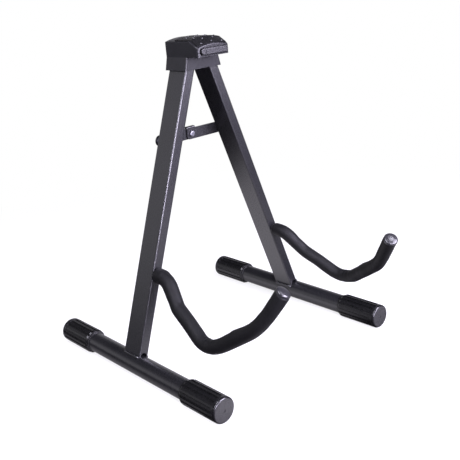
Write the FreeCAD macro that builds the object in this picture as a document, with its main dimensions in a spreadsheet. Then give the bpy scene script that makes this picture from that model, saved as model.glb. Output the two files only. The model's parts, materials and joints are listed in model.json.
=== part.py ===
import FreeCAD, Part
import os
import re

import Sketcher
from FreeCAD import Vector

# Folding A-frame guitar stand.  Millimetres and degrees, +Z up, -Y is the front, where the guitar sits.
# The origin is on the floor, at the middle of the open stand's box.  The part is drawn open.

SIZES = {
    # Legs: rectangular steel tubes that hang from two pins in the head and lean outwards
    "leg_width": 31.8,
    "leg_thickness": 13.6,
    "leg_wall": 1.5,
    "leg_corner": 1.8,
    "leg_drop": 383.6,
    "leg_head": 7.2,
    "leg_lean": 19.85,
    "hinge_offset": 13.0,
    "drain_radius": 4.5,
    # Hinge: steel pin, and the sleeve round it that passes through the tube
    "pin_radius": 3.0,
    "pin_head_radius": 5.0,
    "pin_head_height": 1.8,
    "bush_radius": 4.2,
    "bush_proud": 0.2,
    # Foot bars, and the ribbed caps on their ends.  The reaches are from the legs' middle plane.
    "bar_radius": 12.7,
    "bar_wall": 1.5,
    "front_reach": 167.0,
    "rear_reach": 148.9,
    "cap_length": 63.0,
    "cap_wall": 1.9,
    "cap_end": 4.0,
    "cap_collar": 2.0,
    "cap_collar_wall": 1.2,
    "cap_ring": 6.5,
    "cap_edge": 2.6,
    "rib_height": 1.2,
    "rib_width": 3.0,
    "rib_slope": 2.2,
    "rib_count": 16,
    "groove_width": 1.1,
    "groove_depth": 0.8,
    "dimple_radius": 1.6,
    "dimple_depth": 0.6,
    # Arms: bent rod in a foam sleeve.  Reaches run forward from the leg's front face, drops run
    # down the leg from the arm's root.
    "rod_radius": 4.0,
    "rod_inset": 10.0,
    "foam_radius": 8.6,
    "foam_start": 3.2,
    "arm_root": 268.8,
    "shoulder_reach": 21.9,
    "shoulder_bend": 26.0,
    "slope_reach": 46.7,
    "slope_drop": 26.5,
    "slope_bend": 44.0,
    "trough_reach": 110.6,
    "trough_drop": 60.7,
    "trough_bend": 36.0,
    "rise_reach": 177.5,
    "rise_drop": 13.4,
    "rise_bend": 60.0,
    "tip_reach": 202.4,
    "tip_rise": 29.7,
    "tip_radius": 8.6,
    "tip_height": 4.7,
    "tip_crown": 24.0,
    "tip_round": 2.4,
    "tip_socket": 2.8,
    # Weld beads
    "foot_bead": 3.0,
    "arm_bead": 2.6,
    # Brace: two flat links behind the legs, joined by a rivet in the middle
    "brace_drop": 105.3,
    "link_width": 14.0,
    "link_thickness": 2.0,
    "link_overrun": 7.4,
    "link_corner": 3.0,
    "flange_length": 13.4,
    "rivet_radius": 2.5,
    "rivet_head_radius": 4.3,
    "rivet_head_height": 2.2,
    "rivet_tail_height": 1.6,
    "spacer_radius": 5.6,
    # Head: heights are from the hinge axis, and the lip reaches forward of the skirt's front wall
    "head_wall": 2.5,
    "head_width": 50.5,
    "crown_height": 21.0,
    "crown_rise": 3.6,
    "skirt_drop": 15.8,
    "lip_reach": 21.0,
    "lip_floor": -0.6,
    "lip_top": 13.3,
    "lip_slope": 30.0,
    "lip_corner": 4.5,
    "lip_edge": 1.4,
    "crown_edge": 1.2,
    "skirt_corner": 1.6,
    "socket_depth": 1.7,
    # Head screws
    "boss_radius": 2.4,
    "boss_low": 9.8,
    "boss_high": 11.9,
    "boss_spread": 18.6,
    "screw_radius": 1.5,
    "screw_length": 12.0,
    "screw_head_radius": 2.3,
    "screw_head_height": 1.8,
    "screw_slot": 1.0,
    # Rubber pieces on the head
    "bumper_length": 42.0,
    "bumper_height": 8.0,
    "bumper_level": 5.2,
    "bumper_proud": 3.0,
    "bumper_edge": 1.2,
    "bumper_recess": 1.4,
    "bumper_moat": 1.0,
    "bumper_dent": 2.4,
    "bumper_dent_reach": 5.6,
    "bumper_dent_depth": 0.6,
    "grip_width": 45.6,
    "grip_rear": 3.0,
    "grip_margin": 1.8,
    "grip_recess": 0.8,
    "grip_proud": 1.1,
    # Clearances
    "head_gap": 0.4,
    "seat_gap": 0.05,
    "press_gap": 0.02,
    "run_gap": 0.06,
    "layer_gap": 0.3,
    "foam_gap": 0.3,
}

# Places and sizes that follow from the table
CAP_RADIUS = "(bar_radius + cap_wall + rib_height)"
HINGE_Z = f"({CAP_RADIUS} + leg_drop * cos(leg_lean))"
BAR_X = "(hinge_offset + leg_drop * sin(leg_lean))"
FACE = "(leg_width / 2)"
TIP_PITCH = "atan((rise_drop + tip_rise) / (tip_reach - rise_reach))"
TIP_EDGE = ("(tip_height - tip_crown + sqrt((tip_crown - tip_round) * (tip_crown - tip_round)"
            " - (tip_radius - tip_round) * (tip_radius - tip_round)))")
TIP_EXTENT = (f"({TIP_EDGE} * cos({TIP_PITCH})"
              f" + (tip_radius - tip_round) * sin({TIP_PITCH}) + tip_round)")
LEG_Y = f"(({FACE} + tip_reach + {TIP_EXTENT} - rear_reach) / 2)"
BRACE_X = "(hinge_offset + brace_drop * sin(leg_lean))"
BRACE_Z = f"({HINGE_Z} - brace_drop * cos(leg_lean))"

HEAD_INNER = f"({FACE} + head_gap)"
HEAD_OUTER = f"({FACE} + head_gap + head_wall)"
LIP_FRONT = f"({FACE} + head_gap + head_wall + lip_reach)"
CROWN_SIDE = "(crown_height - crown_rise)"
CROWN_RADIUS = "((head_width * head_width / 4 + crown_rise * crown_rise) / (2 * crown_rise))"
SKIRT_INNER = "(hinge_offset + skirt_drop * tan(leg_lean) + leg_thickness / 2 / cos(leg_lean) + head_gap)"
SKIRT_OUTER = f"({SKIRT_INNER} + head_wall)"

NEAR_LAYER = f"({FACE} + layer_gap)"
FAR_LAYER = f"({FACE} + 2 * layer_gap + link_thickness)"
STACK_BACK = "(3 * layer_gap + 2 * link_thickness)"

SIDES = {"left": -1, "right": 1}
ENDS = {"front": -1, "rear": 1}

doc = FreeCAD.newDocument("guitar_stand")
sheet = doc.addObject("Spreadsheet::Sheet", "Sizes")
for row, (alias, number) in enumerate(SIZES.items(), start=1):
    sheet.set(f"A{row}", alias)
    sheet.set(f"B{row}", str(number))
    sheet.setAlias(f"B{row}", alias)
doc.recompute()


# ---------------------------------------------------------------- expressions and placements

def linked(expression):
    """The expression with each size's name pointing at its cell."""
    def cell(match):
        word = match.group()
        return f"Sizes.{word}" if word in SIZES else word
    return re.sub(r"[a-z_]+", cell, expression)


def value(expression):
    """The number that an expression stands for now."""
    return float(sheet.evalExpression(linked(expression)))


def frame(x="0", y="0", z="0", axis="0; 1; 0", angle="0"):
    """A placement as an expression."""
    return f"placement(vector({x}; {y}; {z}); rotation(vector({axis}); {angle}))"


def leg_frame(side):
    """Origin on the hinge axis, -Z down the leg."""
    return frame(f"{SIDES[side]} * hinge_offset", LEG_Y, HINGE_Z, angle=f"{-SIDES[side]} * leg_lean")


def head_frame():
    """Origin midway between the two hinge axes."""
    return frame("0", LEG_Y, HINGE_Z)


def bind(thing, prop, expression):
    thing.setExpression(prop, linked(expression))


# ---------------------------------------------------------------- PartDesign helpers

def new_body(label, *frames):
    """An empty body that the given frames place, one inside the other."""
    body = doc.addObject("PartDesign::Body", label)
    body.Label = label
    bind(body, "Placement", " * ".join(frames))
    return body


def origin_of(body, role):
    """The body's own origin plane or axis with this role."""
    for feature in body.Origin.OriginFeatures:
        if feature.Role == role:
            return feature
    raise ValueError(role)


def new_sketch(body, plane, name, offset="0"):
    """A sketch on an origin plane, moved along the plane's normal (XZ has its normal towards -Y)."""
    sketch = body.newObject("Sketcher::SketchObject", name)
    sketch.AttachmentSupport = [(origin_of(body, plane), "")]
    sketch.MapMode = "FlatFace"
    bind(sketch, "AttachmentOffset.Base.z", offset)
    return sketch


def sloped_sketch(body, name, back="0"):
    """A sketch square to the lip's slope, with its origin on the slope's top line.

    It lies at the front edge of the lip, or further back up the slope by the given length.
    """
    sketch = body.newObject("Sketcher::SketchObject", name)
    sketch.AttachmentSupport = [(origin_of(body, "XZ_Plane"), "")]
    sketch.MapMode = "FlatFace"
    edge = frame("0", "lip_top", LIP_FRONT, "1; 0; 0", "lip_slope")
    bind(sketch, "AttachmentOffset", f"{edge} * {frame(z=f'-({back})')}")
    return sketch


def constrain(sketch, kind, *items, size):
    """A dimension whose value is an expression."""
    number = sketch.addConstraint(Sketcher.Constraint(kind, *items, value(size)))
    bind(sketch, f"Constraints[{number}]", size)


def pin(sketch, edge, end, x, y):
    """Fix one point of an edge by its distances from the origin."""
    constrain(sketch, "DistanceX", -1, 1, edge, end, size=x)
    constrain(sketch, "DistanceY", -1, 1, edge, end, size=y)


def point(corner):
    return Vector(value(corner[0]), value(corner[1]), 0)


def nearest_end(sketch, edge, place):
    """1 or 2: which end of an edge lies at a place."""
    ends = (sketch.getPoint(edge, 1), sketch.getPoint(edge, 2))
    return 1 if (ends[0] - place).Length < (ends[1] - place).Length else 2


def outline(sketch, corners, arc_edge=None, arc_radius=None, bulge=Vector(0, 1, 0)):
    """A closed outline through the corners.  One edge may be an arc that bulges the given way."""
    places = [point(corner) for corner in corners]
    count = len(places)
    edges = []
    for index, start in enumerate(places):
        stop = places[(index + 1) % count]
        if index == arc_edge:
            chord = stop - start
            radius = value(arc_radius)
            rise = radius - (radius ** 2 - (chord.Length / 2) ** 2) ** 0.5
            across = chord.cross(Vector(0, 0, 1)).normalize()
            if across.dot(bulge) < 0:
                across = -across
            shape = Part.Arc(start, (start + stop) / 2 + across * rise, stop)
        else:
            shape = Part.LineSegment(start, stop)
        edges.append(sketch.addGeometry(shape, False))
    for index, place in enumerate(places):
        before = edges[index - 1]
        here = edges[index]
        end_before = nearest_end(sketch, before, place)
        end_here = nearest_end(sketch, here, place)
        sketch.addConstraint(Sketcher.Constraint("Coincident", before, end_before, here, end_here))
        pin(sketch, here, end_here, *corners[index])
    if arc_edge is not None:
        constrain(sketch, "Radius", edges[arc_edge], size=arc_radius)


def rectangle(sketch, left, right, low, high):
    outline(sketch, [(left, low), (right, low), (right, high), (left, high)])


def circle(sketch, x, y, radius):
    shape = Part.Circle(point((x, y)), Vector(0, 0, 1), value(radius))
    edge = sketch.addGeometry(shape, False)
    pin(sketch, edge, 3, x, y)
    constrain(sketch, "Radius", edge, size=radius)


def stadium(sketch, left, right, level, radius):
    """A slot outline between two centres at one height."""
    start, stop, size = point((left, level)), point((right, level)), value(radius)
    up = Vector(0, size, 0)
    across = Vector(size, 0, 0)
    shapes = [
        Part.LineSegment(start - up, stop - up),
        Part.Arc(stop - up, stop + across, stop + up),
        Part.LineSegment(stop + up, start + up),
        Part.Arc(start + up, start - across, start - up),
    ]
    edges = [sketch.addGeometry(shape, False) for shape in shapes]
    for index, edge in enumerate(edges):
        after = edges[(index + 1) % 4]
        sketch.addConstraint(Sketcher.Constraint("Tangent", edge, 2, after, 1))
    sketch.addConstraint(Sketcher.Constraint("Equal", edges[1], edges[3]))
    pin(sketch, edges[3], 3, left, level)
    pin(sketch, edges[1], 3, right, level)
    constrain(sketch, "Radius", edges[1], size=radius)


def bent_path(sketch, corners, radii):
    """An open path of straight runs, with an arc of its own radius at each inner corner.

    Returns the names of its edges.
    """
    places = [point(corner) for corner in corners]
    starts, arcs = [places[0]], []
    stops = []
    for before, here, after, radius in zip(places, places[1:], places[2:], radii):
        size = value(radius)
        into = (here - before).normalize()
        out = (after - here).normalize()
        reach = size * ((1 - into.dot(out)) / (1 + into.dot(out))) ** 0.5
        stops.append(here - into * reach)
        starts.append(here + out * reach)
        inward = (out - into).normalize()
        to_centre = (size ** 2 + reach ** 2) ** 0.5
        arcs.append(Part.Arc(stops[-1], here + inward * (to_centre - size), starts[-1]))
    stops.append(places[-1])
    runs = [sketch.addGeometry(Part.LineSegment(a, b), False) for a, b in zip(starts, stops)]
    bends = [sketch.addGeometry(arc, False) for arc in arcs]
    for index, bend in enumerate(bends):
        before, after = runs[index], runs[index + 1]
        first = nearest_end(sketch, bend, stops[index])
        sketch.addConstraint(Sketcher.Constraint("Tangent", before, 2, bend, first))
        sketch.addConstraint(Sketcher.Constraint("Tangent", after, 1, bend, 3 - first))
        constrain(sketch, "Radius", bend, size=radii[index])
        corner = sketch.addGeometry(Part.Point(places[index + 1]), True)
        pin(sketch, corner, 1, *corners[index + 1])
        sketch.addConstraint(Sketcher.Constraint("PointOnObject", corner, 1, before))
        sketch.addConstraint(Sketcher.Constraint("PointOnObject", corner, 1, after))
    pin(sketch, runs[0], 1, *corners[0])
    pin(sketch, runs[-1], 2, *corners[-1])
    return [f"Edge{number + 1}" for number in range(len(runs) + len(bends))]


def extrude(body, kind, sketch, length=None, symmetric=False, flip=False):
    """A Pad or Pocket of a sketch.  With no length it goes through everything."""
    feature = body.newObject(f"PartDesign::{kind}", kind)
    feature.Profile = sketch
    if symmetric:
        feature.SideType = "Symmetric"
    if length is None:
        feature.Type = "ThroughAll"
    else:
        bind(feature, "Length", length)
    feature.Reversed = flip
    doc.recompute()
    return feature


def pad(body, sketch, length, symmetric=False, flip=False):
    return extrude(body, "Pad", sketch, length, symmetric, flip)


def pocket(body, sketch, length=None, symmetric=False, flip=False):
    """Cuts a sketch out of the body, and makes sure that it cut something."""
    before = body.Shape.Volume
    feature = extrude(body, "Pocket", sketch, length, symmetric, flip)
    if body.Shape.Volume >= before:
        raise RuntimeError(f"{body.Label}: {sketch.Label} cuts nothing")
    return feature


def revolve(body, sketch):
    """Turns a sketch on the YZ plane about the body's Y axis."""
    feature = body.newObject("PartDesign::Revolution", "Revolution")
    feature.Profile = sketch
    feature.ReferenceAxis = (sketch, ["H_Axis"])
    feature.Angle = 360
    doc.recompute()
    return feature


def fillet(body, wanted, radius):
    """Rounds the edges of the body's tip that are wanted."""
    base = body.Tip
    names = []
    for number, edge in enumerate(base.Shape.Edges, start=1):
        if wanted(edge):
            names.append(f"Edge{number}")
    if not names:
        raise RuntimeError(f"{body.Label}: no edge to round")
    feature = body.newObject("PartDesign::Fillet", "Fillet")
    feature.Base = (base, names)
    bind(feature, "Radius", radius)
    doc.recompute()
    return feature


def near(a, b):
    return abs(a - b) < 0.01


def straight_along(edge, axis):
    """True for a straight edge along an axis: 0, 1 or 2 for X, Y or Z."""
    if edge.Curve.TypeId != "Part::GeomLine":
        return False
    run = edge.Vertexes[1].Point - edge.Vertexes[0].Point
    return all(near(run[other], 0) for other in range(3) if other != axis)


def ring_at(edge, y, radius):
    """True for a full circle of this radius about the Y axis, at this y."""
    if edge.Degenerated or edge.Curve.TypeId != "Part::GeomCircle":
        return False
    centre = edge.Curve.Center
    on_axis = near(centre.x, 0) and near(centre.z, 0)
    return on_axis and near(centre.y, y) and near(edge.Curve.Radius, radius)


# ---------------------------------------------------------------- head

def boss_places():
    """The three screws of the back plate: one low between the legs, two high above them."""
    return [("0", "-boss_low"), ("boss_spread", "boss_high"), ("-boss_spread", "boss_high")]


def arch_drop(x, offset):
    """How far the crown's arch, moved outwards by offset, lies below its own top at an x."""
    radius = f"({CROWN_RADIUS} + ({offset}))"
    return f"{radius} - sqrt({radius} * {radius} - ({x}) * ({x}))"


def above_arch(sketch, half, top, offset):
    """Everything within half a width of the middle that lies above an arch with its top at this height."""
    side = f"{top} + ({offset}) - ({arch_drop(half, offset)})"
    high = f"{top} + 2 * crown_height"
    corners = [(f"-{half}", side), (half, side), (half, high), (f"-{half}", high)]
    outline(sketch, corners, arc_edge=0, arc_radius=f"{CROWN_RADIUS} + ({offset})")


def shape_head_block(body):
    """The outside of the head: its side view, trimmed by its front view and by the arched slope."""
    side = new_sketch(body, "YZ_Plane", "side_view")
    corners = [
        (f"-{HEAD_OUTER}", "-skirt_drop"),
        (HEAD_OUTER, "-skirt_drop"),
        (HEAD_OUTER, "crown_height"),
        (f"-{LIP_FRONT}", "crown_height"),
        (f"-{LIP_FRONT}", "lip_floor"),
        (f"-{HEAD_OUTER}", "lip_floor"),
    ]
    outline(side, corners)
    pad(body, side, f"2 * {SKIRT_OUTER} + 2 * head_wall", symmetric=True)
    front = new_sketch(body, "XZ_Plane", "front_view")
    rectangle(front, f"-2 * {SKIRT_OUTER}", f"2 * {SKIRT_OUTER}", "-2 * skirt_drop", "2 * crown_height")
    half = "(head_width / 2)"
    corners = [
        (f"-{SKIRT_OUTER}", "-skirt_drop"),
        (SKIRT_OUTER, "-skirt_drop"),
        (half, "lip_floor"),
        (half, CROWN_SIDE),
        (f"-{half}", CROWN_SIDE),
        (f"-{half}", "lip_floor"),
    ]
    outline(front, corners, arc_edge=3, arc_radius=CROWN_RADIUS)
    pocket(body, front, symmetric=True)
    slope = sloped_sketch(body, "slope")
    above_arch(slope, "head_width", "0", "0")
    pocket(body, slope, symmetric=True)


def round_head_block(body):
    lip_y = -value(LIP_FRONT)
    half = value("head_width / 2")
    front_y = -value(HEAD_OUTER)

    def lip_corner(edge):
        middle = edge.CenterOfMass
        return straight_along(edge, 2) and near(abs(middle.x), half) and near(middle.y, lip_y)

    def lip_edge(edge):
        ends = [vertex.Point for vertex in edge.Vertexes]
        low = value("lip_floor")
        return all(near(end.y, lip_y) and end.z > low + 1 for end in ends) and not straight_along(edge, 2)

    def crown_edge(edge):
        middle = edge.CenterOfMass
        return straight_along(edge, 1) and near(abs(middle.x), half) and near(middle.z, value(CROWN_SIDE))

    def skirt_corner(edge):
        if edge.Curve.TypeId != "Part::GeomLine":
            return False
        ends = [vertex.Point for vertex in edge.Vertexes]
        flared = not near(ends[0].x, ends[1].x) and not near(ends[0].z, ends[1].z)
        return flared and near(ends[0].y, front_y) and near(ends[1].y, front_y)

    fillet(body, lip_corner, "lip_corner")
    fillet(body, lip_edge, "lip_edge")
    fillet(body, crown_edge, "crown_edge")
    fillet(body, skirt_corner, "skirt_corner")


def hollow_head(body):
    """The room for the legs, open at the back and below, and the hollow under the lip."""
    room = new_sketch(body, "XZ_Plane", "leg_room", HEAD_INNER)
    half = "(head_width / 2 - head_wall)"
    corners = [
        (f"-{SKIRT_INNER}", "-skirt_drop"),
        (SKIRT_INNER, "-skirt_drop"),
        (half, "lip_floor"),
        (half, f"{CROWN_SIDE} - head_wall"),
        (f"-{half}", f"{CROWN_SIDE} - head_wall"),
        (f"-{half}", "lip_floor"),
    ]
    outline(room, corners)
    pocket(body, room)
    under = new_sketch(body, "XY_Plane", "lip_hollow", "lip_floor")
    rectangle(under, f"-{half}", half, f"head_wall - {LIP_FRONT}", f"-{HEAD_OUTER} - head_gap")
    pocket(body, under, "lip_top - lip_floor - 2 * head_wall", flip=True)


def cut_grip_seat(body):
    """The shallow seat of the rubber insert, on the crown and down the slope of the lip."""
    half = "(grip_width / 2 + seat_gap)"
    crown = new_sketch(body, "XZ_Plane", "grip_seat_crown", LIP_FRONT)
    above_arch(crown, half, "crown_height", "-grip_recess")
    pocket(body, crown, f"{LIP_FRONT} + grip_rear + seat_gap")
    slope = sloped_sketch(body, "grip_seat_slope", "grip_margin - seat_gap")
    above_arch(slope, half, "0", "-grip_recess")
    pocket(body, slope)


def make_head_cover():
    body = new_body("head_cover", head_frame())
    shape_head_block(body)
    round_head_block(body)
    hollow_head(body)
    cut_grip_seat(body)
    recess = new_sketch(body, "XZ_Plane", "bumper_seat", LIP_FRONT)
    reach = "(bumper_length / 2 - bumper_height / 2)"
    stadium(recess, f"-{reach}", reach, "bumper_level", "bumper_height / 2 + bumper_moat")
    pocket(body, recess, "bumper_recess")
    posts = new_sketch(body, "XZ_Plane", "screw_bosses", HEAD_INNER)
    for x, z in boss_places():
        circle(posts, x, z, "boss_radius")
    pad(body, posts, f"2 * {HEAD_INNER} - press_gap", flip=True)
    holes = new_sketch(body, "XZ_Plane", "screw_holes", f"-{HEAD_INNER}")
    for x, z in boss_places():
        circle(holes, x, z, "screw_radius + press_gap")
    pocket(body, holes, "screw_length + 1", flip=True)
    sockets = new_sketch(body, "XZ_Plane", "pin_sockets", HEAD_INNER)
    for sign in SIDES.values():
        circle(sockets, f"{sign} * hinge_offset", "0", "pin_radius + press_gap")
    pocket(body, sockets, "socket_depth", flip=True)
    return body


def make_head_back_plate():
    body = new_body("head_back_plate", head_frame())
    panel = new_sketch(body, "XZ_Plane", "panel", f"-{HEAD_INNER}")
    half_low = f"({SKIRT_INNER} - 2 * seat_gap)"
    half_high = "(head_width / 2 - head_wall - 2 * seat_gap)"
    top = f"{CROWN_SIDE} - head_wall - 2 * seat_gap"
    corners = [
        (f"-{half_low}", "-skirt_drop"),
        (half_low, "-skirt_drop"),
        (half_high, "lip_floor"),
        (half_high, top),
        (f"-{half_high}", top),
        (f"-{half_high}", "lip_floor"),
    ]
    outline(panel, corners)
    pad(body, panel, "head_wall", flip=True)
    holes = new_sketch(body, "XZ_Plane", "fixing_holes", f"-{HEAD_INNER}")
    for x, z in boss_places():
        circle(holes, x, z, "screw_radius + run_gap")
    for sign in SIDES.values():
        circle(holes, f"{sign} * hinge_offset", "0", "pin_radius + press_gap")
    pocket(body, holes)
    return body


def crown_envelope(label, half, base, rear, front, offset):
    """All that lies under the crown and the lip's slope, with both moved outwards by offset.

    It runs from rear, a y, to a distance up the slope from the lip's front edge.
    """
    body = new_body(label, head_frame())
    block = new_sketch(body, "XZ_Plane", "block", f"-({rear})")
    rectangle(block, f"-{half}", half, base, "2 * crown_height")
    pad(body, block, f"{rear} + {LIP_FRONT}")
    crown = new_sketch(body, "XZ_Plane", "crown")
    above_arch(crown, f"2 * {half}", "crown_height", offset)
    pocket(body, crown, symmetric=True)
    slope = sloped_sketch(body, "slope")
    above_arch(slope, f"2 * {half}", "0", offset)
    pocket(body, slope, symmetric=True)
    end = sloped_sketch(body, "front_end", front)
    rectangle(end, f"-2 * {half}", f"2 * {half}", "-2 * crown_height", "2 * crown_height")
    pocket(body, end, flip=True)
    return body


def make_top_grip():
    """Arched strip on the crown that bends down over the lip's slope."""
    half = "(grip_width / 2)"
    outside = crown_envelope("grip_outside", half, "0", "grip_rear", "grip_margin", "grip_proud")
    beyond = ("(grip_rear + 1)", "grip_margin - 1")
    inside = crown_envelope("grip_inside", f"({half} + 1)", "-1", *beyond, "-grip_recess")
    strip = doc.addObject("Part::Cut", "top_grip")
    strip.Label = "top_grip"
    strip.Base = outside
    strip.Tool = inside
    doc.recompute()
    return strip


def make_front_bumper():
    body = new_body("front_bumper", head_frame())
    reach = "(bumper_length / 2 - bumper_height / 2)"
    seat = new_sketch(body, "XZ_Plane", "pill", f"{LIP_FRONT} - bumper_recess")
    stadium(seat, f"-{reach}", reach, "bumper_level", "bumper_height / 2")
    pad(body, seat, "bumper_recess + bumper_proud")
    front_y = -value(f"{LIP_FRONT} + bumper_proud")
    fillet(body, lambda edge: all(near(v.Point.y, front_y) for v in edge.Vertexes), "bumper_edge")
    dent = new_sketch(body, "XZ_Plane", "dent", f"{LIP_FRONT} + bumper_proud")
    circle(dent, "bumper_dent_reach - bumper_length / 2", "bumper_level", "bumper_dent")
    pocket(body, dent, "bumper_dent_depth")
    return body


def make_hinge_pin(side):
    """Domed head behind the back plate, far end in a blind socket of the cover."""
    body = new_body(f"{side}_hinge_pin", frame(f"{SIDES[side]} * hinge_offset", LEG_Y, HINGE_Z))
    profile = new_sketch(body, "YZ_Plane", "half_section")
    start = f"-{HEAD_INNER} - socket_depth + press_gap"
    corners = [
        (start, "0"),
        (f"{HEAD_OUTER} + pin_head_height", "0"),
        (f"{HEAD_OUTER} + pin_head_height", "pin_head_radius / 2"),
        (f"{HEAD_OUTER} + pin_head_height / 3", "pin_head_radius"),
        (HEAD_OUTER, "pin_head_radius"),
        (HEAD_OUTER, "pin_radius"),
        (start, "pin_radius"),
    ]
    outline(profile, corners)
    revolve(body, profile)
    return body


def cross(sketch, x, z):
    """The outline of a cross recess."""
    long = "screw_head_radius * 0.6"
    short = "screw_slot / 2"
    steps = [
        (short, short), (long, short), (long, f"-{short}"), (short, f"-{short}"),
        (short, f"-{long}"), (f"-{short}", f"-{long}"), (f"-{short}", f"-{short}"), (f"-{long}", f"-{short}"),
        (f"-{long}", short), (f"-{short}", short), (f"-{short}", long), (short, long),
    ]
    outline(sketch, [(f"{x} + {dx}", f"{z} + {dz}") for dx, dz in steps])


def make_head_screws():
    body = new_body("head_screws", head_frame())
    heads = new_sketch(body, "XZ_Plane", "heads", f"-{HEAD_OUTER}")
    shanks = new_sketch(body, "XZ_Plane", "shanks", f"-{HEAD_OUTER}")
    slots = new_sketch(body, "XZ_Plane", "slots", f"-{HEAD_OUTER} - screw_head_height")
    for x, z in boss_places():
        circle(heads, x, z, "screw_head_radius")
        circle(shanks, x, z, "screw_radius")
        cross(slots, x, z)
    pad(body, heads, "screw_head_height", flip=True)
    pad(body, shanks, "head_wall + screw_length")
    outer_y = value(f"{HEAD_OUTER} + screw_head_height")
    fillet(body, lambda edge: near(edge.CenterOfMass.y, outer_y), "screw_head_height / 2")
    pocket(body, slots, "screw_head_height / 2", flip=True)
    return body


# ---------------------------------------------------------------- legs and feet

def make_leg_tube(side):
    body = new_body(f"{side}_leg_tube", leg_frame(side))
    outer = new_sketch(body, "XY_Plane", "tube", "leg_head")
    rectangle(outer, "-leg_thickness / 2", "leg_thickness / 2", f"-{FACE}", FACE)
    pad(body, outer, "leg_head + leg_drop - bar_radius / 2", flip=True)
    fillet(body, lambda edge: straight_along(edge, 2), "leg_corner")
    inner = new_sketch(body, "XY_Plane", "tube_inside", "leg_head")
    half = "(leg_thickness / 2 - leg_wall)"
    rectangle(inner, f"-{half}", half, f"leg_wall - {FACE}", f"{FACE} - leg_wall")
    pocket(body, inner)
    cope = new_sketch(body, "XZ_Plane", "foot_cope")
    circle(cope, "0", "-leg_drop", "bar_radius + press_gap")
    pocket(body, cope, symmetric=True)
    drain = new_sketch(body, "XZ_Plane", "drain_arch")
    circle(drain, "0", "-leg_drop + bar_radius", "drain_radius")
    pocket(body, drain, symmetric=True)
    hinge = new_sketch(body, "XZ_Plane", "hinge_hole")
    circle(hinge, "0", "0", "bush_radius + press_gap")
    pocket(body, hinge, symmetric=True)
    rivet = new_sketch(body, "XZ_Plane", "rivet_hole")
    circle(rivet, "0", "-brace_drop", "rivet_radius + press_gap")
    pocket(body, rivet)
    arm = new_sketch(body, "XZ_Plane", "arm_hole")
    circle(arm, "0", "-arm_root", "rod_radius + press_gap")
    pocket(body, arm, flip=True)
    return body


def make_hinge_bush(side):
    body = new_body(f"{side}_hinge_bush", leg_frame(side))
    ring = new_sketch(body, "XZ_Plane", "ring")
    circle(ring, "0", "0", "bush_radius")
    circle(ring, "0", "0", "pin_radius + run_gap")
    pad(body, ring, "leg_width + 2 * bush_proud", symmetric=True)
    return body


def make_foot_bar(side):
    body = new_body(f"{side}_foot_bar", frame(f"{SIDES[side]} * {BAR_X}", LEG_Y, CAP_RADIUS))
    ring = new_sketch(body, "XZ_Plane", "ring", "front_reach - cap_end - seat_gap")
    circle(ring, "0", "0", "bar_radius")
    circle(ring, "0", "0", "bar_radius - bar_wall")
    pad(body, ring, "front_reach + rear_reach - 2 * cap_end - 2 * seat_gap", flip=True)
    return body


def make_foot_weld(side):
    """A bead along each wide face of the leg."""
    body = new_body(f"{side}_foot_weld", leg_frame(side))
    body.AllowCompound = True
    beads = new_sketch(body, "XZ_Plane", "beads")
    inner = "(leg_thickness / 2 + press_gap)"
    outer = "(leg_thickness / 2 + foot_bead)"
    saddle = f"sqrt(bar_radius * bar_radius - {inner} * {inner}) - leg_drop"
    toe = f"sqrt(bar_radius * bar_radius - {outer} * {outer}) - leg_drop"
    for sign in SIDES.values():
        corners = [(f"{sign} * {inner}", saddle), (f"{sign} * {outer}", toe),
                   (f"{sign} * {inner}", f"{saddle} + foot_bead")]
        outline(beads, corners)
    pad(body, beads, "leg_width - 2 * leg_corner", symmetric=True)
    bar = new_sketch(body, "XZ_Plane", "bar")
    circle(bar, "0", "-leg_drop", "bar_radius + press_gap")
    pocket(body, bar, symmetric=True)
    return body


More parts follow.
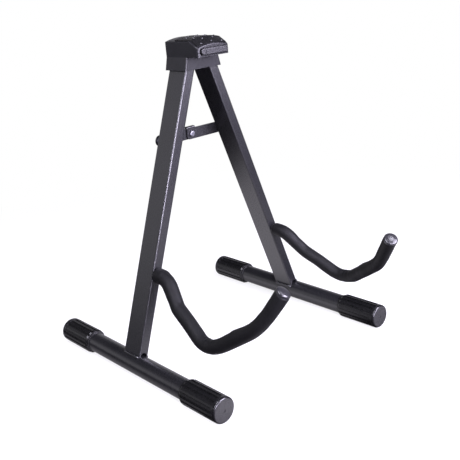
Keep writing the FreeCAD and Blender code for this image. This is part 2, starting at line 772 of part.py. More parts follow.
def make_foot_cap(side, end):
    """Ribbed cap.  Its mouth is at its own origin and it points along -Y; the rear one is turned round."""
    reach = "front_reach" if end == "front" else "rear_reach"
    turn = "0" if end == "front" else "180"
    y = f"{ENDS[end]} * ({reach} - cap_length)"
    place = frame(f"{SIDES[side]} * {BAR_X}", f"{LEG_Y} + {y}", CAP_RADIUS, "0; 0; 1", turn)
    body = new_body(f"{side}_{end}_foot_cap", place)
    profile = new_sketch(body, "YZ_Plane", "half_section")
    bore = "bar_radius + seat_gap"
    barrel = "bar_radius + cap_wall"
    corners = [
        ("0", bore),
        ("cap_end - cap_length", bore),
        ("cap_end - cap_length", "0"),
        ("dimple_depth - cap_length", "0"),
        ("dimple_depth - cap_length", "dimple_radius"),
        ("-cap_length", "dimple_radius"),
        ("-cap_length", CAP_RADIUS),
        ("cap_ring / 2 - groove_width / 2 - cap_length", CAP_RADIUS),
        ("cap_ring / 2 - groove_width / 2 - cap_length", f"{CAP_RADIUS} - groove_depth"),
        ("cap_ring / 2 + groove_width / 2 - cap_length", f"{CAP_RADIUS} - groove_depth"),
        ("cap_ring / 2 + groove_width / 2 - cap_length", CAP_RADIUS),
        ("cap_ring - cap_length", CAP_RADIUS),
        ("cap_ring - cap_length", barrel),
        ("-cap_collar", barrel),
        ("-cap_collar", "bar_radius + cap_collar_wall"),
        ("0", "bar_radius + cap_collar_wall"),
    ]
    outline(profile, corners)
    revolve(body, profile)
    end_y = -value("cap_length")
    fillet(body, lambda edge: ring_at(edge, end_y, value(CAP_RADIUS)), "cap_edge")
    rib = new_sketch(body, "YZ_Plane", "rib")
    corners = [
        ("-cap_collar", f"{barrel} - cap_wall / 2"),
        ("-cap_collar", barrel),
        ("-cap_collar - rib_slope", CAP_RADIUS),
        ("cap_ring - cap_length - seat_gap", CAP_RADIUS),
        ("cap_ring - cap_length - seat_gap", f"{barrel} - cap_wall / 2"),
    ]
    outline(rib, corners)
    first = pad(body, rib, "rib_width", symmetric=True)
    ring = body.newObject("PartDesign::PolarPattern", "ribs")
    ring.Originals = [first]
    ring.Axis = (origin_of(body, "Y_Axis"), [""])
    ring.Angle = 360
    bind(ring, "Occurrences", "rib_count")
    body.Tip = ring
    doc.recompute()
    return body


# ---------------------------------------------------------------- arms

ARM_BENDS = ("shoulder_bend", "slope_bend", "trough_bend", "rise_bend")


def arm_corners(start, past_tip):
    """The arm's centre line in the leg's plane, from start (forward of the face) to past the tip's seat."""
    level = "-arm_root"
    tip_y = f"-({FACE} + tip_reach + ({past_tip}) * cos({TIP_PITCH}))"
    tip_z = f"tip_rise - arm_root + ({past_tip}) * sin({TIP_PITCH})"
    return [
        (f"-({FACE} + {start})", level),
        (f"-({FACE} + shoulder_reach)", level),
        (f"-({FACE} + slope_reach)", "-arm_root - slope_drop"),
        (f"-({FACE} + trough_reach)", "-arm_root - trough_drop"),
        (f"-({FACE} + rise_reach)", "-arm_root - rise_drop"),
        (tip_y, tip_z),
    ]


def sweep_arm(body, start, past_tip, radii):
    """Sweeps one or two circles along the arm's centre line."""
    section = new_sketch(body, "XZ_Plane", "section", f"{FACE} + {start}")
    for radius in radii:
        circle(section, "0", "-arm_root", radius)
    route = new_sketch(body, "YZ_Plane", "route")
    edges = bent_path(route, arm_corners(start, past_tip), ARM_BENDS)
    pipe = body.newObject("PartDesign::AdditivePipe", "Pipe")
    pipe.Profile = section
    pipe.Spine = (route, edges)
    doc.recompute()
    return pipe


def make_arm_rod(side):
    body = new_body(f"{side}_arm_rod", leg_frame(side))
    sweep_arm(body, "(-rod_inset)", "tip_socket - 2 * seat_gap", ["rod_radius"])
    return body


def make_arm_foam(side):
    body = new_body(f"{side}_arm_foam", leg_frame(side))
    sweep_arm(body, "foam_start", "-foam_gap", ["foam_radius", "rod_radius + foam_gap"])
    return body


def make_arm_weld(side):
    """Ring-shaped bead round the rod where it enters the leg."""
    body = new_body(f"{side}_arm_weld", leg_frame(side), frame(y=f"-{FACE}", z="-arm_root"))
    profile = new_sketch(body, "YZ_Plane", "half_section")
    inner = "rod_radius + press_gap"
    limit = "leg_thickness / 2 - leg_corner / 2"
    corners = [("0", inner), ("-arm_bead", inner), ("-arm_bead", f"{inner} + arm_bead / 4"),
               ("-arm_bead / 3", limit), ("0", limit)]
    outline(profile, corners)
    revolve(body, profile)
    return body


def make_arm_tip(side):
    """Crowned end cap.  Its own -Y axis runs out along the arm's last stretch."""
    seat = frame(y=f"-({FACE} + tip_reach)", z="tip_rise - arm_root", axis="1; 0; 0", angle=f"-{TIP_PITCH}")
    body = new_body(f"{side}_arm_tip", leg_frame(side), seat)
    profile = new_sketch(body, "YZ_Plane", "half_section")
    rim = "tip_crown - tip_height - sqrt(tip_crown * tip_crown - tip_radius * tip_radius)"
    corners = [
        ("0", "rod_radius + seat_gap"),
        ("-tip_socket", "rod_radius + seat_gap"),
        ("-tip_socket", "0"),
        ("-tip_height", "0"),
        (rim, "tip_radius"),
        ("0", "tip_radius"),
    ]
    outline(profile, corners, arc_edge=3, arc_radius="tip_crown", bulge=Vector(-1, 0, 0))
    revolve(body, profile)
    rim_y = value(rim)
    fillet(body, lambda edge: ring_at(edge, rim_y, value("tip_radius")), "tip_round")
    return body


# ---------------------------------------------------------------- brace

def turned(body, marks, dome_at=None):
    """A turned rivet from (y, radius) marks, inner end first.  The head that ends at dome_at is rounded."""
    profile = new_sketch(body, "YZ_Plane", "half_section")
    outline(profile, [(marks[0][0], "0")] + [(marks[-1][0], "0")] + marks[::-1])
    revolve(body, profile)
    if dome_at is not None:
        end_y = value(dome_at)
        fillet(body, lambda edge: ring_at(edge, end_y, value("rivet_head_radius")), "rivet_head_height * 0.9")


def rivet_frame():
    """Origin at the brace pivot on the leg's rear face, +Y backwards."""
    return frame(y=FACE, z="-brace_drop")


def make_left_brace_rivet():
    body = new_body("left_brace_rivet", leg_frame("left"), rivet_frame())
    marks = [
        ("-leg_wall - rivet_tail_height", "rivet_radius * 1.4"),
        ("-leg_wall", "rivet_radius * 1.4"),
        ("-leg_wall", "rivet_radius"),
        (STACK_BACK, "rivet_radius"),
        (STACK_BACK, "rivet_head_radius"),
        (f"{STACK_BACK} + rivet_head_height", "rivet_head_radius"),
    ]
    turned(body, marks, dome_at=f"{STACK_BACK} + rivet_head_height")
    return body


def make_left_brace_spacer():
    """Fills the depth of the nearer link, so that the left link lies in the outer layer."""
    body = new_body("left_brace_spacer", leg_frame("left"), rivet_frame())
    ring = new_sketch(body, "XZ_Plane", "ring")
    circle(ring, "0", "0", "spacer_radius")
    circle(ring, "0", "0", "rivet_radius + seat_gap")
    pad(body, ring, "2 * layer_gap + link_thickness - seat_gap", flip=True)
    return body


def make_right_rivet_tail():
    """The half of the right leg's rivet that stays in the leg."""
    body = new_body("right_brace_rivet_tail", leg_frame("right"), rivet_frame())
    marks = [
        ("-leg_wall - rivet_tail_height", "rivet_radius * 1.4"),
        ("-leg_wall", "rivet_radius * 1.4"),
        ("-leg_wall", "rivet_radius"),
        ("0", "rivet_radius"),
    ]
    turned(body, marks)
    return body


def brace_frame(x):
    return frame(x, LEG_Y, BRACE_Z)


def make_right_rivet_head():
    """The half of the right leg's rivet that stays in the link."""
    body = new_body("right_brace_rivet_head", brace_frame(BRACE_X))
    face = f"{NEAR_LAYER} + link_thickness"
    marks = [
        (NEAR_LAYER, "rivet_radius"),
        (face, "rivet_radius"),
        (face, "rivet_head_radius"),
        (f"{face} + rivet_head_height", "rivet_head_radius"),
    ]
    turned(body, marks, dome_at=f"{face} + rivet_head_height")
    return body


def make_brace_centre_rivet():
    """Domed head in front of the links, flat tail behind them."""
    body = new_body("brace_centre_rivet", brace_frame("0"))
    front = f"({NEAR_LAYER} - layer_gap)"
    back = f"({FAR_LAYER} + link_thickness)"
    marks = [
        (f"{front} - rivet_head_height", "rivet_head_radius"),
        (front, "rivet_head_radius"),
        (front, "rivet_radius"),
        (back, "rivet_radius"),
        (back, "rivet_radius * 1.4"),
        (f"{back} + rivet_tail_height", "rivet_radius * 1.4"),
    ]
    turned(body, marks, dome_at=f"{front} - rivet_head_height")
    return body


def make_left_brace_link():
    """The rear layer, round at both ends."""
    body = new_body("left_brace_link", brace_frame("0"))
    strip = new_sketch(body, "XZ_Plane", "strip", f"-{FAR_LAYER}")
    stadium(strip, f"-{BRACE_X}", "0", "0", "link_width / 2")
    circle(strip, f"-{BRACE_X}", "0", "rivet_radius + run_gap")
    circle(strip, "0", "0", "rivet_radius + press_gap")
    pad(body, strip, "link_thickness", flip=True)
    return body


def make_right_brace_link():
    """The front layer, with a square inner end whose flange stops the brace when it is straight."""
    body = new_body("right_brace_link", brace_frame("0"))
    strip = new_sketch(body, "XZ_Plane", "strip", f"-{NEAR_LAYER}")
    stadium(strip, "0", BRACE_X, "0", "link_width / 2")
    circle(strip, BRACE_X, "0", "rivet_radius + press_gap")
    pad(body, strip, "link_thickness", flip=True)
    end = new_sketch(body, "XZ_Plane", "square_end", f"-{NEAR_LAYER}")
    rectangle(end, "-link_overrun", "0", "-link_width / 2", "link_width / 2")
    pad(body, end, "link_thickness", flip=True)
    fillet(body, lambda edge: straight_along(edge, 1) and edge.CenterOfMass.z < 0
           and near(edge.CenterOfMass.x, -value("link_overrun")), "link_corner")
    flange = new_sketch(body, "YZ_Plane", "stop_flange", "-link_overrun")
    low = "link_width / 2"
    under = "link_width / 2 + layer_gap"
    corners = [
        (NEAR_LAYER, f"{low} - link_thickness"),
        (f"{NEAR_LAYER} + link_thickness", f"{low} - link_thickness"),
        (f"{NEAR_LAYER} + link_thickness", under),
        (f"{FAR_LAYER} + link_thickness + layer_gap", under),
        (f"{FAR_LAYER} + link_thickness + layer_gap", f"{under} + link_thickness"),
        (NEAR_LAYER, f"{under} + link_thickness"),
    ]
    outline(flange, corners)
    pad(body, flange, "flange_length")
    bend_y = value(NEAR_LAYER)
    bend_z = value(f"{under} + link_thickness")
    fillet(body, lambda edge: straight_along(edge, 0) and near(edge.CenterOfMass.y, bend_y)
           and near(edge.CenterOfMass.z, bend_z), "link_thickness * 0.8")
    pivot = new_sketch(body, "XZ_Plane", "pivot_hole")
    circle(pivot, "0", "0", "rivet_radius + run_gap")
    pocket(body, pivot, symmetric=True)
    return body


# ---------------------------------------------------------------- the whole stand

def make_leg_parts(side):
    parts = [
        make_leg_tube(side),
        make_hinge_bush(side),
        make_foot_bar(side),
        make_foot_weld(side),
        make_arm_rod(side),
        make_arm_weld(side),
        make_arm_foam(side),
        make_arm_tip(side),
    ]
    for end in ENDS:
        parts.append(make_foot_cap(side, end))
    return parts


def make_stand():
    parts = [
        make_head_cover(),
        make_head_back_plate(),
        make_top_grip(),
        make_front_bumper(),
        make_head_screws(),
    ]
    for side in SIDES:
        parts.append(make_hinge_pin(side))
        parts.extend(make_leg_parts(side))
    parts += [
        make_left_brace_rivet(),
        make_left_brace_spacer(),
        make_right_rivet_tail(),
        make_right_rivet_head(),
        make_brace_centre_rivet(),
        make_left_brace_link(),
        make_right_brace_link(),
    ]
    return parts


def check(parts):
    """Stops on a failed feature or a bad shape, before anything is written."""
    for thing in doc.Objects:
        if "Invalid" in thing.State or "Error" in thing.State:
            raise RuntimeError(f"{thing.Label} failed: {thing.State}")
    for part in parts:
        if part.Shape.isNull() or not part.Shape.isValid() or not part.Shape.Solids:
            raise RuntimeError(f"{part.Label} has no valid solid")


stand = make_stand()
doc.recompute()
check(stand)
os.makedirs("parts", exist_ok=True)
for part in stand:
    part.Shape.exportStep(f"parts/{part.Label}.step")
    box = part.Shape.BoundBox
    print(f"{part.Label:26s} {len(part.Shape.Solids)} solid(s) {part.Shape.Volume:10.1f} mm3"
          f"  x {box.XMin:7.1f} {box.XMax:7.1f}  y {box.YMin:7.1f} {box.YMax:7.1f}"
          f"  z {box.ZMin:7.1f} {box.ZMax:7.1f}")
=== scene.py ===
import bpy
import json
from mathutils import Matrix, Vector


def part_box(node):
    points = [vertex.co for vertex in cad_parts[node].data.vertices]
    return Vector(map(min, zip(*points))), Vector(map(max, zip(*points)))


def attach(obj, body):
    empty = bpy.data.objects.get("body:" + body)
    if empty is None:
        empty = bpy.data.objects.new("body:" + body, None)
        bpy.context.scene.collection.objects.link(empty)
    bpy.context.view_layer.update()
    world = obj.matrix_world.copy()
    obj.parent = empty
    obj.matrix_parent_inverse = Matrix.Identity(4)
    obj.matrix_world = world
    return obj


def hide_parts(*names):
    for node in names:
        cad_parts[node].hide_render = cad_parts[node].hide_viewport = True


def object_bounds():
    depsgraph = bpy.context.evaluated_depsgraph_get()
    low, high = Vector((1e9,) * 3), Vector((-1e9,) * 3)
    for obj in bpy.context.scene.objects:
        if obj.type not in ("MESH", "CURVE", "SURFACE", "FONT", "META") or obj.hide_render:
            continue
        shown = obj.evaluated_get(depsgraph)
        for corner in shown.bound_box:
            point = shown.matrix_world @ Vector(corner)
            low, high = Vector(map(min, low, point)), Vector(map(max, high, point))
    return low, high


bl_info = {
    "name": "Folding guitar stand",
    "version": (1, 0, 0),
    "blender": (4, 5, 0),
    "location": "3D View > Sidebar > Guitar Stand",
    "description": "Foam sleeves, weld beads, grip pips and finishes of a folding A-frame guitar stand",
    "category": "Add Mesh",
}

import json
import math

import bmesh
import bpy
from bpy.props import FloatProperty, FloatVectorProperty, IntProperty, PointerProperty
from mathutils import Matrix, Vector, noise
from mathutils.bvhtree import BVHTree

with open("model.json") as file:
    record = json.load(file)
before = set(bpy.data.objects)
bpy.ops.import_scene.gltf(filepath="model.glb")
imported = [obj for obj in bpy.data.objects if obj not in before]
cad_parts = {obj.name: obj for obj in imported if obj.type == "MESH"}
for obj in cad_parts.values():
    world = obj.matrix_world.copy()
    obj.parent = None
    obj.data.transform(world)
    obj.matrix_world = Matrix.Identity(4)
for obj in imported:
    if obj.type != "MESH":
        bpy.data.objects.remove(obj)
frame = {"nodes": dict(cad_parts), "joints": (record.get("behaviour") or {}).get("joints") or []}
cad_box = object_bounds()

MM = 0.001
SIDES = {"left": -1, "right": 1}

# The arm's centre line, in millimetres: forward of the leg's front face, and down the leg from the hinge.
# Each inner corner has its own bend radius.
ARM_CORNERS = ((3.2, 268.8), (21.9, 268.8), (46.7, 295.3), (110.6, 329.5), (177.5, 282.2), (202.25, 239.36))
ARM_BENDS = (26.0, 44.0, 36.0, 60.0)

# Sizes of the CAD solids that the new pieces meet, in millimetres.
ROD_RADIUS = 4.0
LEG_HALF_THICKNESS = 6.8
BAR_RADIUS = 12.7

# How each sleeve sits on its rod: distance along it, how far its skin hangs below the rod's centre line, and
# how much thicker than plain it is.  Millimetres.
SLEEVES = {
    "left": ((0, -1.3, 1.2), (9, -1.2, 1.1), (16, -0.5, 0.6), (25, -0.15, 0.65), (37, -0.5, 0.4), (46, -0.8, 0.2),
             (58, -0.1, 0.45), (82, -0.8, 0.3), (104, -0.4, 0.2), (115, 0.1, -0.05), (137, -0.1, 0.0),
             (150, 0.5, 0.15), (162, 0.5, 0.35), (170, 0.2, 0.75), (177, 0.45, 0.55), (185, 0.8, 0.25),
             (203, 0.55, -0.1), (212, 0.7, -0.15), (223, 1.3, -0.15), (240, 1.1, 0.05), (252, 0.5, 0.1)),
    "right": ((0, 0.0, 0.2), (14, 0.5, 0.25), (28, 1.5, 0.3), (38, 1.5, -0.2), (46, 1.0, -0.25), (60, 1.1, -0.2),
              (79, 0.6, -0.3), (92, 1.4, -0.15), (104, 1.8, -0.25), (114, 1.3, -0.4), (124, 0.15, -0.3),
              (132, -0.5, -0.3), (143, -0.4, 0.0), (157, -0.45, -0.1), (164, -0.7, 0.15), (171, -1.0, 0.45),
              (184, -0.75, 0.0), (196, -1.0, 0.05), (210, -1.5, -0.3), (222, -1.2, -0.05), (240, -0.7, -0.05),
              (252, -0.4, 0.0)),
}

# Pinches in the foam at the bends: bend number, distance from the bend's middle on the left and on the right
# sleeve, half width, depth (minus swells), half angle round the sleeve, and turn away from the inside of the
# bend.  Millimetres and degrees.
CREASES = (
    (1, 4.0, 5.0, 3.0, 0.25, 60, 0),
    (2, 0.0, 1.0, 5.0, 0.30, 60, 0),
    (3, -9.5, -7.0, 3.0, -0.30, 50, 0),
    (3, -5.2, -2.6, 0.9, 0.95, 44, 0),
    (3, -2.4, 0.4, 1.7, -0.50, 40, 0),
    (3, 6.5, 10.5, 3.0, 0.55, 50, 0),
    (3, -1.0, 2.0, 1.1, 0.45, 30, 70),
    (3, 4.0, -6.0, 1.2, 0.40, 26, -75),
    (4, -7.0, -6.0, 1.5, 0.30, 44, 0),
    (4, -1.0, 0.0, 1.3, 0.28, 44, -8),
    (4, 4.5, 6.0, 1.5, 0.32, 44, 6),
)

# Fine wrinkles fill the inside of every bend: how far they reach along the sleeve (millimetres) and round it
# (radians), how long one radian of their wave is (millimetres), and how far the wave wanders (radians).
WRINKLE_REACH = 11
WRINKLE_HALF_ANGLE = 0.9
WRINKLE_WAVE = 0.42
WRINKLE_WANDER = 2.1

# Slow lumps run along the whole sleeve: how many to a metre, how quickly they change round it, and a shift that
# gives each side its own.
LUMPS_PER_METRE = 45
LUMPS_ROUND = 1.3
LUMPS_SHIFT = 7

# The sleeve's ends are rounded over this far along and this deep, in millimetres.
END_REACH = 0.8
END_DEPTH = 0.5
SKIN_SEGMENTS = 56
BORE_SEGMENTS = 28

# The mean height of a weld's ripples, as a share of the highest: a bead keeps its size when they are added.
MEAN_RIPPLE = 0.6


def linear(hex_colour):
    """An sRGB hex colour as linear numbers."""
    channels = [int(hex_colour[k:k + 2], 16) / 255 for k in (1, 3, 5)]
    return tuple(c / 12.92 if c <= 0.04045 else ((c + 0.055) / 1.055) ** 2.4 for c in channels)


def colour(label, text, default):
    """A colour that a user may change."""
    return FloatVectorProperty(name=label, description=text, subtype="COLOR", size=3, min=0, max=1,
                               default=linear(default))


def length(label, text, default):
    """A length that a user may change, given here in millimetres."""
    return FloatProperty(name=label, description=text, unit="LENGTH", precision=5, min=0, default=default * MM)


def power(label, text, default):
    """A lamp's power that a user may change, in watts."""
    return FloatProperty(name=label, description=f"Power of {text}", unit="POWER", min=0, default=default)


def strength(label, text, default):
    """A brightness that a user may change, where 1 is white."""
    return FloatProperty(name=label, description=text, min=0, max=2, default=default)


class FoamSettings(bpy.types.PropertyGroup):
    """The foam sleeves on the arms"""
    radius: length("Radius", "Outer radius of the foam sleeve", 8.6)
    bore: length("Bore radius", "Radius of the hole that the rod fills", 4.3)
    step: length("Ring spacing", "Distance between the rings of the mesh", 0.9)
    lumps: length("Lumps", "Height of the slow lumps along the sleeve", 0.16)
    wrinkles: length("Wrinkles", "Height of the fine wrinkles inside the bends", 0.10)
    cells: length("Cell size", "Size of the pores that show in the foam's skin", 0.9)


class WeldSettings(bpy.types.PropertyGroup):
    """The weld beads"""
    pitch: length("Ripple pitch", "Distance from one ripple of the bead to the next", 1.5)
    height: length("Ripple height", "How far a ripple stands out of the bead", 0.28)
    foot_radius: length("Foot bead radius", "Radius of the beads between leg and foot bar", 2.1)
    arm_radius: length("Arm bead radius", "Radius of the bead round the arm's root", 1.6)


class GripSettings(bpy.types.PropertyGroup):
    """The rubber grip on the head"""
    pip_radius: length("Pip radius", "Radius of one pip", 1.1)
    pip_height: length("Pip height", "How far a pip stands out of the grip", 0.75)
    spacing: length("Pip spacing", "Distance between the pips of one row", 16.0)
    row_gap: length("Row spacing", "Distance between two rows of pips", 6.6)
    first_row: length("First row", "Distance of the first row from the grip's front end", 2.1)
    rows: IntProperty(name="Rows", description="How many rows of pips there are", min=1, max=8, default=6)


class FinishSettings(bpy.types.PropertyGroup):
    """The colours of the finishes"""
    coat: colour("Powder coat", "Legs, foot bars, arms and brace", "#111113")
    fastener: colour("Fasteners", "Rivets, pins and screws", "#4a4a4e")
    head: colour("Head plastic", "Moulded cover and back plate", "#131315")
    grip: colour("Grip rubber", "Insert on the head", "#0a0a0b")
    # Painted highlight: the pips are coloured lighter than the grip's rubber to show as bright flecks; their low
    # roughness is real.
    pips: colour("Grip pips", "Domes on the insert, worn shiny", "#2a2a2c")
    bumper: colour("Bumper rubber", "Pad on the front of the head", "#101012")
    foam: colour("Arm foam", "Sleeves on the arms", "#060607")
    tip: colour("Tip plastic", "Crowned ends of the arms", "#19191b")
    cap: colour("Cap plastic", "Ribbed caps on the foot bars", "#0b0b0c")
    # Painted light: the paler colour given to the caps' flat end faces stands in for the light they catch from the
    # front lamps.
    painted_end_light: colour("Scuffed ends", "End faces of the foot caps", "#232323")


class StudioSettings(bpy.types.PropertyGroup):
    """The stage"""
    floor: colour("Floor", "Plain pale floor", "#f2f2f2")
    front: power("Front lamp", "the low lamp in front", 14)
    right: power("Right lamp", "the lamp at the right front", 46)
    left: power("Left lamp", "the lamp on the left", 12)
    strip: power("Strip lamp", "the strip at the left front", 30)
    high: power("High lamp", "the high lamp on the left", 16)
    top: power("Top lamp", "the small lamp overhead", 6)
    ambient: strength("Ambient", "Strength of the light from all round", 0.1)
    mirrored: strength("Mirrored backdrop", "How bright the backdrop shows in reflections", 0.02)
    rear: strength("Rear backdrop", "How bright the low backdrop behind shows in reflections", 0.8)
    glow: strength("Floor glow", "How bright the floor round the legs shows in reflections", 1.25)


class StandSettings(bpy.types.PropertyGroup):
    """Everything about the stand that a user may change"""
    foam: PointerProperty(type=FoamSettings)
    weld: PointerProperty(type=WeldSettings)
    grip: PointerProperty(type=GripSettings)
    finish: PointerProperty(type=FinishSettings)
    studio: PointerProperty(type=StudioSettings)


def settings():
    """What the user has set."""
    return bpy.context.scene.guitar_stand


# ------------------------------------------------------------------ places

def hinge(side):
    """The point that the leg turns about, on the hinge pin's axis."""
    return Vector(next(j["pos_m"] for j in frame["joints"] if j["name"] == f"{side}_leg_fold"))


def down_leg(side):
    """From the hinge to the middle of the foot bar."""
    low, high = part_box(f"{side}_foot_bar")
    return (low + high) / 2 - hinge(side)


def leg_frame(side):
    """The leg's own frame: origin on its hinge, -Z down the leg, -Y forward."""
    down = down_leg(side)
    return Matrix.Translation(hinge(side)) @ Matrix.Rotation(math.atan2(-down.x, -down.z), 4, "Y")


def face_reach(side):
    """Distance from the leg's middle plane to its front face."""
    low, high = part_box(f"{side}_leg_tube")
    return (high.y - low.y) / 2


def leg_length(side):
    """Distance from the hinge to the axis of the foot bar."""
    down = down_leg(side)
    return math.hypot(down.x, down.z)


def sleeve_fit(side, where):
    """How far the sleeve hangs below its rod, and how much it swells, at a distance along it."""
    rows = SLEEVES[side]
    for (start, *low), (stop, *high) in zip(rows, rows[1:]):
        if where < stop * MM:
            break
    share = min(1.0, (where / MM - start) / (stop - start))
    share *= share * (3 - 2 * share)
    return [(a + (b - a) * share) * MM for a, b in zip(low, high)]


# ------------------------------------------------------------------ meshes

def finished(name, mesh, material, body, replaced=()):
    """Turns a bmesh into a smooth, dressed piece that rides on a body."""
    bmesh.ops.recalc_face_normals(mesh, faces=mesh.faces)
    data = bpy.data.meshes.new(name)
    mesh.to_mesh(data)
    mesh.free()
    data.shade_smooth()
    data.materials.append(material)
    piece = bpy.data.objects.new(name, data)
    bpy.context.scene.collection.objects.link(piece)
    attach(piece, body)
    if replaced:
        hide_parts(*replaced)
    return piece


def moved_on(mesh, ring, centre, shift=(0, 0, 0), angle=0.0):
    """Extrudes a ring of edges one step along a straight run, or round a bend's centre."""
    made = bmesh.ops.spin(mesh, geom=ring, cent=centre, axis=(1, 0, 0), dvec=shift, angle=angle, steps=1,
                          use_merge=False, use_duplicate=False)
    return [item for item in made["geom_last"] if isinstance(item, bmesh.types.BMEdge)]


def ring_verts(ring):
    """The vertices of a ring of edges."""
    return list({vert for edge in ring for vert in edge.verts})


def ring_edges(verts):
    """The edges of a circle's vertices."""
    return list({edge for vert in verts for edge in vert.link_edges})


def circle_at(mesh, centre, segments, radius, turn_axis="X"):
    """The vertices of a circle round Y, or round X where it is turned about Y."""
    place = Matrix.Translation(centre) @ Matrix.Rotation(math.pi / 2, 4, turn_axis)
    return bmesh.ops.create_circle(mesh, segments=segments, radius=radius, matrix=place)["verts"]


def arm_steps(side, step):
    """Each step of the sweep along the arm, in the leg's frame: bend centre, shift, angle, and the bend's number."""
    face = face_reach(side)
    corners = [Vector((0, -face - reach * MM, -drop * MM)) for reach, drop in ARM_CORNERS]
    steps, here = [], corners[0]
    for number in range(1, len(corners)):
        corner = corners[number]
        into = (corner - corners[number - 1]).normalized()
        last = number == len(corners) - 1
        radius = 0.0 if last else ARM_BENDS[number - 1] * MM
        out = into if last else (corners[number + 1] - corner).normalized()
        turn = math.atan2(into.cross(out).x, into.dot(out))
        cut = radius * math.tan(abs(turn) / 2)
        run = corner - into * cut - here
        count = max(1, round(run.length / step))
        steps += [(here, run / count, 0.0, 0)] * count
        if not last:
            start = corner - into * cut
            inward = Vector((1, 0, 0)).cross(into) * math.copysign(1, turn)
            count = max(4, round(radius * abs(turn) / step))
            steps += [(start + inward * radius, Vector(), turn / count, number)] * count
            here = corner + out * cut
    return corners[0], steps


def swept_tube(side, foam):
    """The plain foam tube along the arm.  Gives the mesh, the edges at each end, the distance, centre and skin of
    each station, and for each bend the distance of its middle and the angle of its inside."""
    mesh = bmesh.new()
    around = mesh.verts.layers.float.new("around")
    start, steps = arm_steps(side, foam.step)
    bore = circle_at(mesh, start, BORE_SEGMENTS, foam.bore)
    skin = circle_at(mesh, start, SKIN_SEGMENTS, foam.radius)
    for vert in skin:
        offset = vert.co - start
        vert[around] = math.atan2(offset.x, offset.z)
    rings = [ring_edges(bore), ring_edges(skin)]
    ends = [rings[0] + rings[1]]
    travelled, centre = 0.0, start.copy()
    stations, bends = [(0.0, centre.copy(), list(skin))], {}
    for pivot, shift, angle, number in steps:
        if number:
            turn = Matrix.Translation(pivot) @ Matrix.Rotation(angle, 4, "X") @ Matrix.Translation(-pivot)
            travelled += abs(angle) * (centre - pivot).length
            low = bends[number][0] if number in bends else travelled
            bends[number] = (low, travelled, 0.0 if angle < 0 else math.pi)
            centre = turn @ centre
        else:
            travelled += shift.length
            centre = centre + shift
        rings = [moved_on(mesh, ring, pivot, shift, angle) for ring in rings]
        stations.append((travelled, centre.copy(), ring_verts(rings[1])))
    ends.append(rings[0] + rings[1])
    middles = {number: ((low + high) / 2, inside) for number, (low, high, inside) in bends.items()}
    return mesh, ends, stations, middles


def foam_depth(side, where, angle, bends, foam):
    """How far the foam's skin lies below its plain radius, at a distance along and an angle round the sleeve."""
    depth = 0.0
    for number, left, right, half, low, spread, turn in CREASES:
        middle, inside = bends[number]
        along = (where - middle - (left if side == "left" else right) * MM) / (half * MM)
        round_it = (angle - inside - math.radians(turn) + math.pi) % (2 * math.pi) - math.pi
        depth += low * MM * math.exp(-along * along - (round_it / math.radians(spread)) ** 2)
    for number, (middle, inside) in bends.items():
        along = (where - middle) / (WRINKLE_REACH * MM)
        round_it = (angle - inside + math.pi) % (2 * math.pi) - math.pi
        share = math.exp(-along * along - (round_it / WRINKLE_HALF_ANGLE) ** 2)
        wave = where / (WRINKLE_WAVE * MM) + WRINKLE_WANDER * math.sin(round_it * 2 + number)
        depth += foam.wrinkles * share * math.sin(wave)
    return depth


def foam_sleeve(side, foam):
    """The foam sleeve: a tube with its bore, hung on the arm, then pinched and wrinkled at the bends."""
    mesh, ends, stations, bends = swept_tube(side, foam)
    around = mesh.verts.layers.float["around"]
    whole = stations[-1][0]
    for where, centre, verts in stations:
        end = min(where, whole - where)
        rounding = END_DEPTH * MM * math.exp(-(end / (END_REACH * MM)) ** 2)
        hang, swell = sleeve_fit(side, where)
        under = sum(((centre - vert.co) * math.cos(vert[around]) for vert in verts), Vector()).normalized()
        for vert in verts:
            offset = vert.co - centre
            angle = vert[around]
            lump = noise.noise(Vector((where * LUMPS_PER_METRE, math.cos(angle) * LUMPS_ROUND,
                                       math.sin(angle) * LUMPS_ROUND + SIDES[side] * LUMPS_SHIFT)))
            depth = foam_depth(side, where, angle, bends, foam)
            offset.length = foam.radius + swell - depth + foam.lumps * lump - rounding
            vert.co = centre + offset + under * hang
    for edges in ends:
        bmesh.ops.bridge_loops(mesh, edges=edges)
    bmesh.ops.transform(mesh, matrix=leg_frame(side), verts=mesh.verts)
    return mesh


def arm_bead(side, weld):
    """A rippled ring of weld metal round the arm's root."""
    mesh = bmesh.new()
    off_face, clear_share, wander = 0.8 * MM, 0.3, 0.5
    segments, steps = 12, 84
    place = Vector((0, -face_reach(side) - off_face, -ARM_CORNERS[0][1] * MM))
    ring_radius = ROD_RADIUS * MM + clear_share * weld.arm_radius
    circle = circle_at(mesh, place + Vector((0, 0, ring_radius)), segments, weld.arm_radius, "Y")
    bmesh.ops.spin(mesh, geom=ring_edges(circle), cent=place, axis=(0, 1, 0), angle=2 * math.pi, steps=steps,
                   use_merge=True)
    bmesh.ops.remove_doubles(mesh, verts=mesh.verts, dist=1e-6)
    ripples = round(2 * math.pi * ring_radius / weld.pitch)
    for vert in mesh.verts:
        offset = vert.co - place
        angle = math.atan2(offset.x, offset.z)
        core = place + Vector((math.sin(angle), 0, math.cos(angle))) * ring_radius
        ripple = abs(math.sin(angle * ripples / 2 + wander * math.sin(3 * angle)))
        vert.co = core + (vert.co - core) * (1 + weld.height / weld.arm_radius * (ripple - MEAN_RIPPLE))
    bmesh.ops.transform(mesh, matrix=leg_frame(side), verts=mesh.verts)
    return mesh


